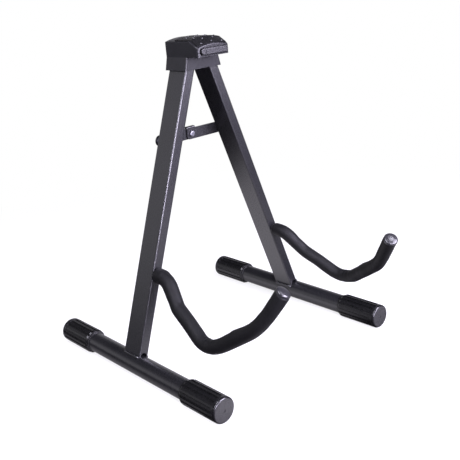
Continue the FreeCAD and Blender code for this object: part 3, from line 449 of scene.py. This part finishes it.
def foot_bead(mesh, start, run, sign, weld):
    """One bead along a wide face of the leg: its ripples bow towards the leg's corner, its ends taper."""
    segments, count = 14, 96
    taper, bluntest = 2.2 * MM, 0.02
    sway_height, sway_wave = 0.25 * MM, 3.1 * MM
    bow_share, outwards = 0.45, Vector((sign * 0.7, 0, 0.7))
    circle = circle_at(mesh, start, segments, weld.foot_radius)
    first = ring = ring_edges(circle)
    shift = Vector((0, run / count, 0))
    stations = [(0.0, list(circle))]
    for index in range(count):
        ring = moved_on(mesh, ring, start, shift)
        stations.append((shift.length * (index + 1), ring_verts(ring)))
    for where, verts in stations:
        centre = start + Vector((0, where, 0))
        end = min(1.0, min(where, run - where) / taper)
        rounding = math.sqrt(max(bluntest, 1 - (1 - end) ** 2))
        sway = sway_height * math.sin(where / sway_wave + sign)
        for vert in verts:
            offset = vert.co - centre
            bow = bow_share * weld.pitch * abs(offset.normalized().dot(outwards))
            ripple = abs(math.sin(math.pi * (where + bow) / weld.pitch))
            offset *= rounding * (1 + weld.height / weld.foot_radius * (ripple - MEAN_RIPPLE))
            vert.co = centre + offset + Vector((sign * sway * 0.5, 0, sway))
    for loop in (first, ring):
        bmesh.ops.contextual_create(mesh, geom=loop)


def foot_beads(side, weld):
    """Two rippled beads along the wide faces of the leg, where it meets the foot bar."""
    mesh = bmesh.new()
    from_corner, off_face, rise = 1.2 * MM, 0.4 * MM, 0.5 * MM
    half = face_reach(side) - from_corner
    beside_leg = LEG_HALF_THICKNESS + 0.8
    level = math.sqrt(BAR_RADIUS ** 2 - beside_leg ** 2) * MM - leg_length(side) + rise
    for sign in SIDES.values():
        start = Vector((sign * (LEG_HALF_THICKNESS * MM + off_face), -half, level))
        foot_bead(mesh, start, 2 * half, sign, weld)
    bmesh.ops.transform(mesh, matrix=leg_frame(side), verts=mesh.verts)
    return mesh


def grip_pips(grip):
    """Small rubber domes that stand square to the grip's surface."""
    rubber = frame["nodes"]["top_grip"].data
    surface = BVHTree.FromPolygons([v.co for v in rubber.vertices], [p.vertices[:] for p in rubber.polygons])
    low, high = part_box("top_grip")
    above = high.z + 10 * MM
    margin = 2 * grip.pip_radius
    meridians, parallels = 20, 12
    mesh = bmesh.new()
    for row in range(grip.rows):
        y = low.y + grip.first_row + row * grip.row_gap
        shift = grip.spacing / 2 if row % 2 else 0
        for column in (-1, 0, 1):
            x = column * grip.spacing + shift
            if abs(x) > high.x - margin or y > high.y - margin:
                continue
            place, normal, _, _ = surface.ray_cast(Vector((x, y, above)), Vector((0, 0, -1)))
            if place is None:
                raise RuntimeError(f"the grip has no surface under the pip at {x:.4f}, {y:.4f}")
            stand = Matrix.Translation(place) @ normal.to_track_quat("Z", "Y").to_matrix().to_4x4()
            dome = bmesh.ops.create_uvsphere(mesh, u_segments=meridians, v_segments=parallels,
                                             radius=grip.pip_radius)["verts"]
            bmesh.ops.scale(mesh, verts=dome, vec=(1, 1, grip.pip_height / grip.pip_radius))
            bmesh.ops.transform(mesh, matrix=stand, verts=dome)
    return mesh


# ------------------------------------------------------------------ materials

# Powder, mould and rubber grain is about 0.2 mm across in fact, too fine to show from the stage's camera.  The
# finishes draw theirs at 0.6 to 0.9 mm.

# The colour sockets of the Mix node, by number, because its other sockets share their names.
SHARE, FIRST, SECOND, MIXED = 0, 6, 7, 2


def per_metre(size):
    """The scale of a pattern whose features are this many millimetres across."""
    return 1 / (size * MM)


def node(tree, kind, values=None, **options):
    """Adds a node with its settings.  A value that is another node's socket is linked."""
    made = tree.nodes.new(kind)
    for name, option in options.items():
        setattr(made, name, option)
    for name, value in (values or {}).items():
        if isinstance(value, bpy.types.NodeSocket):
            tree.links.new(value, made.inputs[name])
        else:
            made.inputs[name].default_value = value
    return made


def new_finish(name, **values):
    """An empty material with a Principled surface, and the object's coordinates to draw patterns on."""
    finish = bpy.data.materials.new(name)
    finish.use_nodes = True
    tree = finish.node_tree
    tree.nodes.clear()
    skin = node(tree, "ShaderNodeBsdfPrincipled", {k.replace("_", " "): v for k, v in values.items()})
    node(tree, "ShaderNodeOutputMaterial", {"Surface": skin.outputs["BSDF"]})
    place = node(tree, "ShaderNodeTexCoord").outputs["Object"]
    return finish, tree, skin, place


def drive(tree, skin, **sockets):
    """Links patterns to the inputs of a surface, which are named as they are in the node."""
    for name, socket in sockets.items():
        tree.links.new(socket, skin.inputs[name.replace("_", " ")])


def shade(rgb, factor):
    """A colour made lighter or darker, with alpha."""
    return tuple(min(1.0, c * factor) for c in rgb) + (1.0,)


def powder_coat(rgb):
    """Powder-coated steel, sprayed and baked: satin black skin with soft orange peel, a fine grain that takes
    the sharpness off highlights, and slightly paler clouds where the powder lies thicker."""
    finish, tree, skin, place = new_finish("powder_coated_steel", IOR=1.6)
    peel = node(tree, "ShaderNodeTexNoise",
                {"Vector": place, "Scale": per_metre(2.4), "Detail": 2.0, "Roughness": 0.45})
    grain = node(tree, "ShaderNodeTexNoise", {"Vector": place, "Scale": per_metre(0.7), "Detail": 1.0})
    clouds = node(tree, "ShaderNodeTexNoise", {"Vector": place, "Scale": per_metre(30), "Detail": 3.0})
    tone = node(tree, "ShaderNodeMapRange", {"Value": clouds.outputs["Fac"], "From Min": 0.3, "From Max": 0.7})
    mixed = node(tree, "ShaderNodeMix",
                 {SHARE: tone.outputs["Result"], FIRST: shade(rgb, 0.9), SECOND: shade(rgb, 1.12)}, data_type="RGBA")
    gloss = node(tree, "ShaderNodeMapRange",
                 {"Value": grain.outputs["Fac"], "From Min": 0.3, "From Max": 0.7, "To Min": 0.25, "To Max": 0.33})
    ripple = node(tree, "ShaderNodeBump", {"Height": peel.outputs["Fac"], "Strength": 0.25, "Distance": 0.12 * MM})
    both = node(tree, "ShaderNodeBump",
                {"Height": grain.outputs["Fac"], "Strength": 0.25, "Distance": 0.05 * MM,
                 "Normal": ripple.outputs["Normal"]})
    drive(tree, skin, Base_Color=mixed.outputs[MIXED], Roughness=gloss.outputs["Result"],
          Normal=both.outputs["Normal"])
    return finish


def blackened_steel(rgb):
    """Steel rivets and screws, turned or headed and then blackened: a darker metal sheen, finely worn."""
    finish, tree, skin, place = new_finish("blackened_steel", Metallic=0.85)
    wear = node(tree, "ShaderNodeTexNoise", {"Vector": place, "Scale": per_metre(1.2), "Detail": 3.0})
    tone = node(tree, "ShaderNodeMapRange", {"Value": wear.outputs["Fac"], "From Min": 0.35, "From Max": 0.7})
    mixed = node(tree, "ShaderNodeMix",
                 {SHARE: tone.outputs["Result"], FIRST: shade(rgb, 1.2), SECOND: shade(rgb, 3.0)}, data_type="RGBA")
    gloss = node(tree, "ShaderNodeMapRange", {"Value": wear.outputs["Fac"], "To Min": 0.28, "To Max": 0.46})
    drive(tree, skin, Base_Color=mixed.outputs[MIXED], Roughness=gloss.outputs["Result"])
    return finish


def moulded_abs(rgb):
    """Black ABS, injection moulded in a spark-eroded tool: satin skin with a fine even grain."""
    finish, tree, skin, place = new_finish("moulded_abs", IOR=1.5, Specular_IOR_Level=0.26)
    grain = node(tree, "ShaderNodeTexNoise",
                 {"Vector": place, "Scale": per_metre(0.8), "Detail": 2.0, "Roughness": 0.6})
    flow = node(tree, "ShaderNodeTexNoise", {"Vector": place, "Scale": per_metre(12), "Detail": 2.0})
    tone = node(tree, "ShaderNodeMapRange", {"Value": flow.outputs["Fac"], "From Min": 0.3, "From Max": 0.7})
    mixed = node(tree, "ShaderNodeMix",
                 {SHARE: tone.outputs["Result"], FIRST: shade(rgb, 0.88), SECOND: shade(rgb, 1.12)}, data_type="RGBA")
    gloss = node(tree, "ShaderNodeMapRange", {"Value": grain.outputs["Fac"], "To Min": 0.28, "To Max": 0.42})
    skin_grain = node(tree, "ShaderNodeBump", {"Height": grain.outputs["Fac"], "Strength": 0.35, "Distance": 0.08 * MM})
    drive(tree, skin, Base_Color=mixed.outputs[MIXED], Roughness=gloss.outputs["Result"],
          Normal=skin_grain.outputs["Normal"])
    return finish


def textured_rubber(rgb):
    """Black moulded rubber with a coarse pebble grain, which breaks its highlights into small flecks.  Its colour is
    painted darker in the hollows between the pebbles: painted shade.
    """
    finish, tree, skin, place = new_finish("textured_rubber", IOR=1.52, Specular_IOR_Level=0.25)
    pebbles = node(tree, "ShaderNodeTexVoronoi", {"Vector": place, "Scale": per_metre(1.3), "Randomness": 0.8})
    grain = node(tree, "ShaderNodeTexNoise", {"Vector": place, "Scale": per_metre(0.6), "Detail": 2.0})
    # Painted shade: lighter on the pebbles' crowns, darker in the hollows between them.
    tone = node(tree, "ShaderNodeMapRange", {"Value": pebbles.outputs["Distance"], "From Min": 0.1, "From Max": 0.6})
    mixed = node(tree, "ShaderNodeMix",
                 {SHARE: tone.outputs["Result"], FIRST: shade(rgb, 1.3), SECOND: shade(rgb, 0.6)}, data_type="RGBA")
    low = node(tree, "ShaderNodeMath", {0: 1.0, 1: pebbles.outputs["Distance"]}, operation="SUBTRACT")
    pebble_bump = node(tree, "ShaderNodeBump", {"Height": low.outputs["Value"], "Strength": 0.7, "Distance": 0.35 * MM})
    both = node(tree, "ShaderNodeBump",
                {"Height": grain.outputs["Fac"], "Strength": 0.3, "Distance": 0.1 * MM,
                 "Normal": pebble_bump.outputs["Normal"]})
    gloss = node(tree, "ShaderNodeMapRange", {"Value": grain.outputs["Fac"], "To Min": 0.36, "To Max": 0.56})
    drive(tree, skin, Base_Color=mixed.outputs[MIXED], Roughness=gloss.outputs["Result"],
          Normal=both.outputs["Normal"])
    return finish


def smooth_rubber(rgb):
    """Moulded rubber rubbed smooth on the pips, so that each carries a small bright glint.  Its colour, lighter than
    the grip's, is a painted highlight.
    """
    finish, tree, skin, place = new_finish("smooth_rubber", IOR=1.55)
    wear = node(tree, "ShaderNodeTexNoise", {"Vector": place, "Scale": per_metre(0.8), "Detail": 2.0})
    gloss = node(tree, "ShaderNodeMapRange", {"Value": wear.outputs["Fac"], "To Min": 0.18, "To Max": 0.3})
    tone = node(tree, "ShaderNodeMix",
                {SHARE: wear.outputs["Fac"], FIRST: shade(rgb, 0.7), SECOND: shade(rgb, 1.3)}, data_type="RGBA")
    drive(tree, skin, Base_Color=tone.outputs[MIXED], Roughness=gloss.outputs["Result"])
    return finish


def bumper_rubber(rgb):
    """Grey moulded rubber, a little mottled where the filler shows, with a dull soft shine."""
    finish, tree, skin, place = new_finish("grey_bumper_rubber", IOR=1.5, Specular_IOR_Level=0.36)
    mottle = node(tree, "ShaderNodeTexNoise",
                  {"Vector": place, "Scale": per_metre(3.0), "Detail": 4.0, "Roughness": 0.65})
    tone = node(tree, "ShaderNodeMapRange", {"Value": mottle.outputs["Fac"], "From Min": 0.32, "From Max": 0.68})
    mixed = node(tree, "ShaderNodeMix",
                 {SHARE: tone.outputs["Result"], FIRST: shade(rgb, 0.62), SECOND: shade(rgb, 1.35)}, data_type="RGBA")
    gloss = node(tree, "ShaderNodeMapRange", {"Value": mottle.outputs["Fac"], "To Min": 0.3, "To Max": 0.5})
    dimples = node(tree, "ShaderNodeBump", {"Height": mottle.outputs["Fac"], "Strength": 0.3, "Distance": 0.2 * MM})
    drive(tree, skin, Base_Color=mixed.outputs[MIXED], Roughness=gloss.outputs["Result"],
          Normal=dimples.outputs["Normal"])
    return finish


def closed_cell_foam(rgb, cells):
    """Black closed-cell foam tube, extruded: matte and speckled by its pores, with a faint pale bloom at
    shallow angles.  The pores are drawn coarser than real ones so that they show."""
    finish, tree, skin, place = new_finish("closed_cell_foam", IOR=1.45, Specular_IOR_Level=0.2, Sheen_Weight=0.01,
                                           Sheen_Roughness=0.45)
    pores = node(tree, "ShaderNodeTexVoronoi", {"Vector": place, "Scale": 1 / cells, "Randomness": 1.0})
    skin_noise = node(tree, "ShaderNodeTexNoise",
                      {"Vector": place, "Scale": per_metre(1.6), "Detail": 4.0, "Roughness": 0.7})
    rubbed = node(tree, "ShaderNodeTexNoise", {"Vector": place, "Scale": per_metre(14), "Detail": 3.0})
    speckle = node(tree, "ShaderNodeMath",
                   {0: pores.outputs["Distance"], 1: skin_noise.outputs["Fac"]}, operation="MULTIPLY")
    tone = node(tree, "ShaderNodeMapRange", {"Value": speckle.outputs["Value"], "From Min": 0.05, "From Max": 0.4})
    base = node(tree, "ShaderNodeMix",
                {SHARE: tone.outputs["Result"], FIRST: shade(rgb, 1.3), SECOND: shade(rgb, 0.65)}, data_type="RGBA")
    pale = node(tree, "ShaderNodeMapRange",
                {"Value": rubbed.outputs["Fac"], "From Min": 0.45, "From Max": 0.8, "To Max": 0.5})
    mixed = node(tree, "ShaderNodeMix",
                 {SHARE: pale.outputs["Result"], FIRST: base.outputs[MIXED], SECOND: shade(rgb, 1.7)}, data_type="RGBA")
    pits = node(tree, "ShaderNodeBump", {"Height": pores.outputs["Distance"], "Strength": 0.5, "Distance": 0.25 * MM})
    both = node(tree, "ShaderNodeBump",
                {"Height": skin_noise.outputs["Fac"], "Strength": 0.4, "Distance": 0.3 * MM,
                 "Normal": pits.outputs["Normal"]})
    gloss = node(tree, "ShaderNodeMapRange", {"Value": skin_noise.outputs["Fac"], "To Min": 0.48, "To Max": 0.66})
    drive(tree, skin, Base_Color=mixed.outputs[MIXED], Roughness=gloss.outputs["Result"],
          Normal=both.outputs["Normal"])
    return finish


def glossy_vinyl(rgb):
    """Dipped black vinyl: smooth and glossy, so that the crowned end carries one clear highlight."""
    finish, tree, skin, place = new_finish("dipped_vinyl", IOR=1.53)
    waves = node(tree, "ShaderNodeTexNoise", {"Vector": place, "Scale": per_metre(4.0), "Detail": 1.0})
    scuffs = node(tree, "ShaderNodeTexNoise", {"Vector": place, "Scale": per_metre(1.0), "Detail": 4.0})
    gloss = node(tree, "ShaderNodeMapRange",
                 {"Value": scuffs.outputs["Fac"], "From Min": 0.3, "From Max": 0.7, "To Min": 0.26, "To Max": 0.36})
    tone = node(tree, "ShaderNodeMix",
                {SHARE: waves.outputs["Fac"], FIRST: shade(rgb, 0.8), SECOND: shade(rgb, 1.3)}, data_type="RGBA")
    soft = node(tree, "ShaderNodeBump", {"Height": waves.outputs["Fac"], "Strength": 0.05, "Distance": 0.3 * MM})
    drive(tree, skin, Base_Color=tone.outputs[MIXED], Roughness=gloss.outputs["Result"],
          Normal=soft.outputs["Normal"])
    return finish


def moulded_cap(rgb, end_light_colour):
    """Soft black plastic caps, injection moulded: semi-gloss with faint mould grain.  Faces square to the bar, the flat
    ends among them, are painted paler: painted light standing in for the bright ends that face the front lamps."""
    finish, tree, skin, place = new_finish("moulded_soft_plastic", IOR=1.5, Specular_IOR_Level=0.4)
    grain = node(tree, "ShaderNodeTexNoise",
                 {"Vector": place, "Scale": per_metre(0.9), "Detail": 3.0, "Roughness": 0.6})
    clouds = node(tree, "ShaderNodeTexNoise", {"Vector": place, "Scale": per_metre(5.0), "Detail": 4.0})
    tone = node(tree, "ShaderNodeMapRange", {"Value": clouds.outputs["Fac"], "From Min": 0.35, "From Max": 0.75})
    # Painted light: faces square to the bar's axis, the flat ends among them, take the paler end colour.
    facing = node(tree, "ShaderNodeSeparateXYZ", {"Vector": node(tree, "ShaderNodeTexCoord").outputs["Normal"]})
    along = node(tree, "ShaderNodeMath", {0: facing.outputs["Y"]}, operation="ABSOLUTE")
    worn = node(tree, "ShaderNodeMapRange", {"Value": along.outputs["Value"], "From Min": 0.85, "From Max": 0.98})
    base = node(tree, "ShaderNodeMix",
                {SHARE: worn.outputs["Result"], FIRST: (*rgb, 1), SECOND: (*end_light_colour, 1)}, data_type="RGBA")
    bright = node(tree, "ShaderNodeMapRange", {"Value": tone.outputs["Result"], "To Min": 0.88, "To Max": 1.15})
    mixed = node(tree, "ShaderNodeVectorMath",
                 {0: base.outputs[MIXED], "Scale": bright.outputs["Result"]}, operation="SCALE")
    gloss = node(tree, "ShaderNodeMapRange", {"Value": clouds.outputs["Fac"], "To Min": 0.22, "To Max": 0.34})
    fine = node(tree, "ShaderNodeBump", {"Height": grain.outputs["Fac"], "Strength": 0.3, "Distance": 0.08 * MM})
    drive(tree, skin, Base_Color=mixed.outputs["Vector"], Roughness=gloss.outputs["Result"],
          Normal=fine.outputs["Normal"])
    return finish


def dress(finish, *names):
    """Gives CAD nodes their finish."""
    for name in names:
        frame["nodes"][name].material_slots[0].material = finish


def both_sides(*names):
    """The names of nodes that the stand has on its left and on its right."""
    return [f"{side}_{name}" for side in SIDES for name in names]


# ------------------------------------------------------------------ stage

# Each soft lamp, named as the setting that holds its power: place, width and height in metres, and tint.
LAMP_AIM = Vector((0, 0, 0.18))
COOL = (0.87, 0.85, 1.0)
COOLER = (0.84, 0.79, 1.0)
LAMPS = {
    "front": ((0.1, -1.05, 0.30), (0.6, 0.55), COOLER),
    "right": ((0.42, -0.96, 0.66), (0.6, 0.55), COOLER),
    "left": ((-1.1, -0.18, 0.85), (0.4, 0.5), COOL),
    "high": ((-0.55, -0.15, 1.2), (0.5, 0.5), COOL),
    "top": ((0.32, -0.48, 1.0), (0.26, 0.26), COOL),
    "strip": ((-0.55, -1.18, 0.40), (0.22, 0.5), COOLER),
}

# The camera, in degrees: how far it stands round from straight ahead, how high, and its roll.  In metres: the
# point it looks at, whose Y counts from the hinge, and its distance from there.  In millimetres: sensor and lens.
CAMERA_ANGLES = (-41.603, 19.132, -5.007)
CAMERA_TARGET = (0.032777, -0.003617, 0.140358)
CAMERA_DISTANCE = 0.95793
CAMERA_SENSOR = 36.0
CAMERA_LENS = 55.49

# What reflections show, in metres: on the floor a bright rectangle that fades out, darkened in a band along each
# foot bar, and round spots, each with its middle, where it starts and ends to fade, and its share of the glow.
SKY_TINT = (0.95, 0.93, 1.0, 1)
FLOOR_TINT = (0.94, 0.9, 1, 1)
GLOW_MIDDLE = (-0.01, 0.11, 0)
GLOW_HALF_SIZE = (0.12, 0.155, 0)
GLOW_FADE = 0.07
BAR_INSET = 0.016
BAR_BAND = 0.04
BAR_SHADE = 0.3
GLOW_SPOTS = (
    ((-0.10, -0.175, 0), 0.04, 0.08, 1.0),
    ((0.24, -0.40, 0), 0.15, 0.30, 0.85),
)

# The floor reads as paper near the stand, where it takes shadows, and as plain white away from it, in metres
# from its middle.  It throws only part of its light back on the stand.
FLOOR_HALF_SIZE = 5.0
NEAR, AWAY = 0.25, 0.9
NEAR_WHITE = 0.72
BOUNCE = 0.25


def rays(tree):
    """1 for what the camera sees straight, and 1 for what shows in a reflection or through glass."""
    path = node(tree, "ShaderNodeLightPath")
    mirror = node(tree, "ShaderNodeMath",
                  {0: path.outputs["Is Glossy Ray"], 1: path.outputs["Is Transmission Ray"]}, operation="MAXIMUM")
    return path.outputs["Is Camera Ray"], mirror.outputs["Value"]


def studio_world(scene, studio):
    """White to the camera and dim to the stand.  Reflections see a dark backdrop, bright only low behind."""
    world = bpy.data.worlds.new("studio_world")
    world.use_nodes = True
    scene.world = world
    tree = world.node_tree
    tree.nodes.clear()
    camera_ray, mirror_ray = rays(tree)
    split = node(tree, "ShaderNodeSeparateXYZ", {"Vector": node(tree, "ShaderNodeTexCoord").outputs["Generated"]})
    behind = node(tree, "ShaderNodeMapRange",
                  {"Value": split.outputs["Y"], "From Min": 0.1, "From Max": 0.5, "To Min": studio.mirrored,
                   "To Max": studio.rear})
    low = node(tree, "ShaderNodeMapRange",
               {"Value": split.outputs["Z"], "From Min": 0.3, "From Max": 0.5, "To Min": 1.0, "To Max": 0.03})
    backdrop = node(tree, "ShaderNodeMath",
                    {0: behind.outputs["Result"], 1: low.outputs["Result"]}, operation="MULTIPLY")
    dim = node(tree, "ShaderNodeMapRange",
               {"Value": mirror_ray, "To Min": studio.ambient, "To Max": backdrop.outputs["Value"]})
    level = node(tree, "ShaderNodeMapRange", {"Value": camera_ray, "To Min": dim.outputs["Result"], "To Max": 1.0})
    tint = node(tree, "ShaderNodeMix", {SHARE: mirror_ray, FIRST: (1, 1, 1, 1), SECOND: SKY_TINT}, data_type="RGBA")
    sky = node(tree, "ShaderNodeBackground", {"Color": tint.outputs[MIXED], "Strength": level.outputs["Result"]})
    node(tree, "ShaderNodeOutputWorld", {"Surface": sky.outputs["Background"]})


def floor_glow(tree, place, studio):
    """How bright each point of the floor shows in reflections."""
    offset = node(tree, "ShaderNodeVectorMath", {0: place, 1: GLOW_MIDDLE}, operation="SUBTRACT")
    reach = node(tree, "ShaderNodeVectorMath", {0: offset.outputs["Vector"]}, operation="ABSOLUTE")
    margin = node(tree, "ShaderNodeVectorMath", {0: reach.outputs["Vector"], 1: GLOW_HALF_SIZE}, operation="SUBTRACT")
    outside = node(tree, "ShaderNodeSeparateXYZ", {"Vector": margin.outputs["Vector"]})
    furthest = node(tree, "ShaderNodeMath", {0: outside.outputs["X"], 1: outside.outputs["Y"]}, operation="MAXIMUM")
    pool = node(tree, "ShaderNodeMapRange",
                {"Value": furthest.outputs["Value"], "From Min": 0, "From Max": GLOW_FADE, "To Min": studio.glow,
                 "To Max": studio.mirrored})
    split = node(tree, "ShaderNodeSeparateXYZ", {"Vector": place})
    across = node(tree, "ShaderNodeMath", {0: split.outputs["X"]}, operation="ABSOLUTE")
    gap = node(tree, "ShaderNodeMath", {0: across.outputs["Value"], 1: cad_box[1][0] - BAR_INSET}, operation="SUBTRACT")
    beside = node(tree, "ShaderNodeMath", {0: gap.outputs["Value"]}, operation="ABSOLUTE")
    band = node(tree, "ShaderNodeMapRange",
                {"Value": beside.outputs["Value"], "From Min": 0.0, "From Max": BAR_BAND, "To Min": BAR_SHADE,
                 "To Max": 1.0})
    total = node(tree, "ShaderNodeMath", {0: pool.outputs["Result"], 1: band.outputs["Result"]}, operation="MULTIPLY")
    for middle, inner, outer, share in GLOW_SPOTS:
        away = node(tree, "ShaderNodeVectorMath", {0: place, 1: middle}, operation="DISTANCE")
        spot = node(tree, "ShaderNodeMapRange",
                    {"Value": away.outputs["Value"], "From Min": inner, "From Max": outer,
                     "To Min": studio.glow * share, "To Max": 0.0})
        total = node(tree, "ShaderNodeMath", {0: total.outputs["Value"], 1: spot.outputs["Result"]})
    return total.outputs["Value"]


def pale_floor(studio):
    """A plain pale floor: paper that takes the stand's soft shadow, and white where the stand is far."""
    finish = bpy.data.materials.new("pale_floor")
    finish.use_nodes = True
    tree = finish.node_tree
    tree.nodes.clear()
    place = node(tree, "ShaderNodeTexCoord").outputs["Object"]
    away = node(tree, "ShaderNodeVectorMath", {0: place}, operation="LENGTH")
    share = node(tree, "ShaderNodeMapRange",
                 {"Value": away.outputs["Value"], "From Min": NEAR, "From Max": AWAY, "To Min": NEAR_WHITE,
                  "To Max": 1.0})
    mirrored = floor_glow(tree, place, studio)
    camera_ray, mirror_ray = rays(tree)
    tone = node(tree, "ShaderNodeMix",
                {SHARE: camera_ray, FIRST: shade(studio.floor, BOUNCE), SECOND: (*studio.floor, 1)}, data_type="RGBA")
    paper = node(tree, "ShaderNodeBsdfDiffuse", {"Color": tone.outputs[MIXED]})
    glow = node(tree, "ShaderNodeEmission", {"Color": (1, 1, 1, 1), "Strength": 1.0})
    sheen = node(tree, "ShaderNodeEmission", {"Color": FLOOR_TINT, "Strength": mirrored})
    lit = node(tree, "ShaderNodeMath", {0: share.outputs["Result"], 1: camera_ray}, operation="MULTIPLY")
    straight = node(tree, "ShaderNodeMixShader",
                    {0: lit.outputs["Value"], 1: paper.outputs["BSDF"], 2: glow.outputs["Emission"]})
    both = node(tree, "ShaderNodeMixShader",
                {0: mirror_ray, 1: straight.outputs["Shader"], 2: sheen.outputs["Emission"]})
    node(tree, "ShaderNodeOutputMaterial", {"Surface": both.outputs["Shader"]})
    return finish


def studio_floor(studio):
    """The flat floor that the stand stands on."""
    mesh = bmesh.new()
    bmesh.ops.create_grid(mesh, x_segments=8, y_segments=8, size=FLOOR_HALF_SIZE)
    data = bpy.data.meshes.new("studio_floor")
    mesh.to_mesh(data)
    mesh.free()
    ground = bpy.data.objects.new("studio_floor", data)
    bpy.context.scene.collection.objects.link(ground)
    data.materials.append(pale_floor(studio))


def area_lamp(name, place, size, tint, watts):
    """A soft rectangular lamp, aimed at the stand, that the camera itself doesn't see."""
    data = bpy.data.lights.new(name, "AREA")
    data.shape = "RECTANGLE"
    data.size, data.size_y = size
    data.energy = watts
    data.color = tint
    lamp = bpy.data.objects.new(name, data)
    lamp.location = place
    lamp.rotation_euler = (Vector(place) - LAMP_AIM).to_track_quat("Z", "Y").to_euler()
    lamp.visible_camera = False
    bpy.context.scene.collection.objects.link(lamp)


def studio_camera():
    """A long lens at the left front, above the stand's middle, held level to within a few degrees."""
    azimuth, elevation, roll = (math.radians(angle) for angle in CAMERA_ANGLES)
    level = math.cos(elevation)
    back = Vector((math.sin(azimuth) * level, -math.cos(azimuth) * level, math.sin(elevation)))
    right = (-back).cross(Vector((0, 0, 1))).normalized()
    up = back.cross(right)
    across = right * math.cos(roll) + up * math.sin(roll)
    upward = up * math.cos(roll) - right * math.sin(roll)
    data = bpy.data.cameras.new("studio_camera")
    data.sensor_width, data.lens = CAMERA_SENSOR, CAMERA_LENS
    camera = bpy.data.objects.new("studio_camera", data)
    x, behind_hinge, z = CAMERA_TARGET
    place = Vector((x, hinge("left").y + behind_hinge, z)) + back * CAMERA_DISTANCE
    camera.matrix_world = Matrix.Translation(place) @ Matrix((across, upward, back)).transposed().to_4x4()
    bpy.context.scene.collection.objects.link(camera)
    bpy.context.scene.camera = camera


# ------------------------------------------------------------------ operators

class STAND_OT_steel(bpy.types.Operator):
    """Powder-coat the legs, foot bars, arm rods and brace links"""
    bl_idname = "guitar_stand.steel"
    bl_label = "Powder-coated frame"

    def execute(self, context):
        coat = powder_coat(settings().finish.coat)
        dress(coat, *both_sides("leg_tube", "foot_bar", "arm_rod", "brace_link"))
        return {"FINISHED"}


class STAND_OT_fasteners(bpy.types.Operator):
    """Blacken the rivets, pins, bushes and screws"""
    bl_idname = "guitar_stand.fasteners"
    bl_label = "Blackened fasteners"

    def execute(self, context):
        steel = blackened_steel(settings().finish.fastener)
        dress(steel, *both_sides("hinge_pin", "hinge_bush"), "head_screws", "left_brace_rivet", "left_brace_spacer",
              "right_brace_rivet_tail", "right_brace_rivet_head", "brace_centre_rivet")
        return {"FINISHED"}


class STAND_OT_welds(bpy.types.Operator):
    """Lay the rippled weld beads at the foot bars and at the roots of the arms"""
    bl_idname = "guitar_stand.welds"
    bl_label = "Weld beads"

    def execute(self, context):
        weld = settings().weld
        coat = bpy.data.materials["powder_coated_steel"]
        for side in SIDES:
            finished(f"{side}_arm_bead", arm_bead(side, weld), coat, f"{side}_leg",
                     [f"{side}_arm_weld"])
            finished(f"{side}_foot_beads", foot_beads(side, weld), coat, f"{side}_leg",
                     [f"{side}_foot_weld"])
        return {"FINISHED"}


class STAND_OT_foam(bpy.types.Operator):
    """Sweep the foam sleeves along the arms and crease them at the bends"""
    bl_idname = "guitar_stand.foam"
    bl_label = "Foam sleeves"

    def execute(self, context):
        foam = settings().foam
        skin = closed_cell_foam(settings().finish.foam, foam.cells)
        for side in SIDES:
            piece = finished(f"{side}_foam_sleeve", foam_sleeve(side, foam), skin, f"{side}_leg",
                             [f"{side}_arm_foam"])
        return {"FINISHED"}


class STAND_OT_tips(bpy.types.Operator):
    """Give the crowned arm ends their gloss"""
    bl_idname = "guitar_stand.tips"
    bl_label = "Arm tips"

    def execute(self, context):
        dress(glossy_vinyl(settings().finish.tip), *both_sides("arm_tip"))
        return {"FINISHED"}


class STAND_OT_caps(bpy.types.Operator):
    """Finish the ribbed caps on the foot bars"""
    bl_idname = "guitar_stand.caps"
    bl_label = "Foot caps"

    def execute(self, context):
        finish = settings().finish
        dress(moulded_cap(finish.cap, finish.painted_end_light), *both_sides("front_foot_cap", "rear_foot_cap"))
        return {"FINISHED"}


class STAND_OT_head(bpy.types.Operator):
    """Finish the moulded head, its grip with pips, and its bumper"""
    bl_idname = "guitar_stand.head"
    bl_label = "Head, grip and bumper"

    def execute(self, context):
        finish = settings().finish
        rubber = textured_rubber(finish.grip)
        dress(moulded_abs(finish.head), "head_cover", "head_back_plate")
        dress(rubber, "top_grip")
        dress(bumper_rubber(finish.bumper), "front_bumper")
        finished("grip_pips", grip_pips(settings().grip), smooth_rubber(finish.pips), "head")
        return {"FINISHED"}


class STAND_OT_stage(bpy.types.Operator):
    """Set up the pale floor, the soft lamps and the camera"""
    bl_idname = "guitar_stand.stage"
    bl_label = "Stage"

    def execute(self, context):
        studio = settings().studio
        context.scene.view_settings.view_transform = "Standard"
        studio_world(context.scene, studio)
        studio_floor(studio)
        for name, (place, size, tint) in LAMPS.items():
            area_lamp(f"{name}_lamp", place, size, tint, getattr(studio, name))
        studio_camera()
        return {"FINISHED"}


class STAND_PT_panel(bpy.types.Panel):
    """The steps that finish the stand"""
    bl_idname = "STAND_PT_panel"
    bl_label = "Guitar Stand"
    bl_space_type = "VIEW_3D"
    bl_region_type = "UI"
    bl_category = "Guitar Stand"

    def draw(self, context):
        for step in STEPS:
            self.layout.operator(step.bl_idname)
        for group in ("foam", "weld", "grip", "finish", "studio"):
            box = self.layout.box()
            owner = getattr(context.scene.guitar_stand, group)
            for name in owner.__annotations__:
                box.prop(owner, name)


STEPS = (STAND_OT_steel, STAND_OT_fasteners, STAND_OT_welds, STAND_OT_foam, STAND_OT_tips, STAND_OT_caps,
         STAND_OT_head, STAND_OT_stage)
GROUPS = (FoamSettings, WeldSettings, GripSettings, FinishSettings, StudioSettings, StandSettings)


def register():
    for kind in (*GROUPS, *STEPS, STAND_PT_panel):
        bpy.utils.register_class(kind)
    bpy.types.Scene.guitar_stand = PointerProperty(type=StandSettings)


def unregister():
    del bpy.types.Scene.guitar_stand
    for kind in reversed((*GROUPS, *STEPS, STAND_PT_panel)):
        bpy.utils.unregister_class(kind)


def main():
    register()
    for step in STEPS:
        group, name = step.bl_idname.split(".")
        getattr(getattr(bpy.ops, group), name)()


if __name__ == "__main__":
    main()
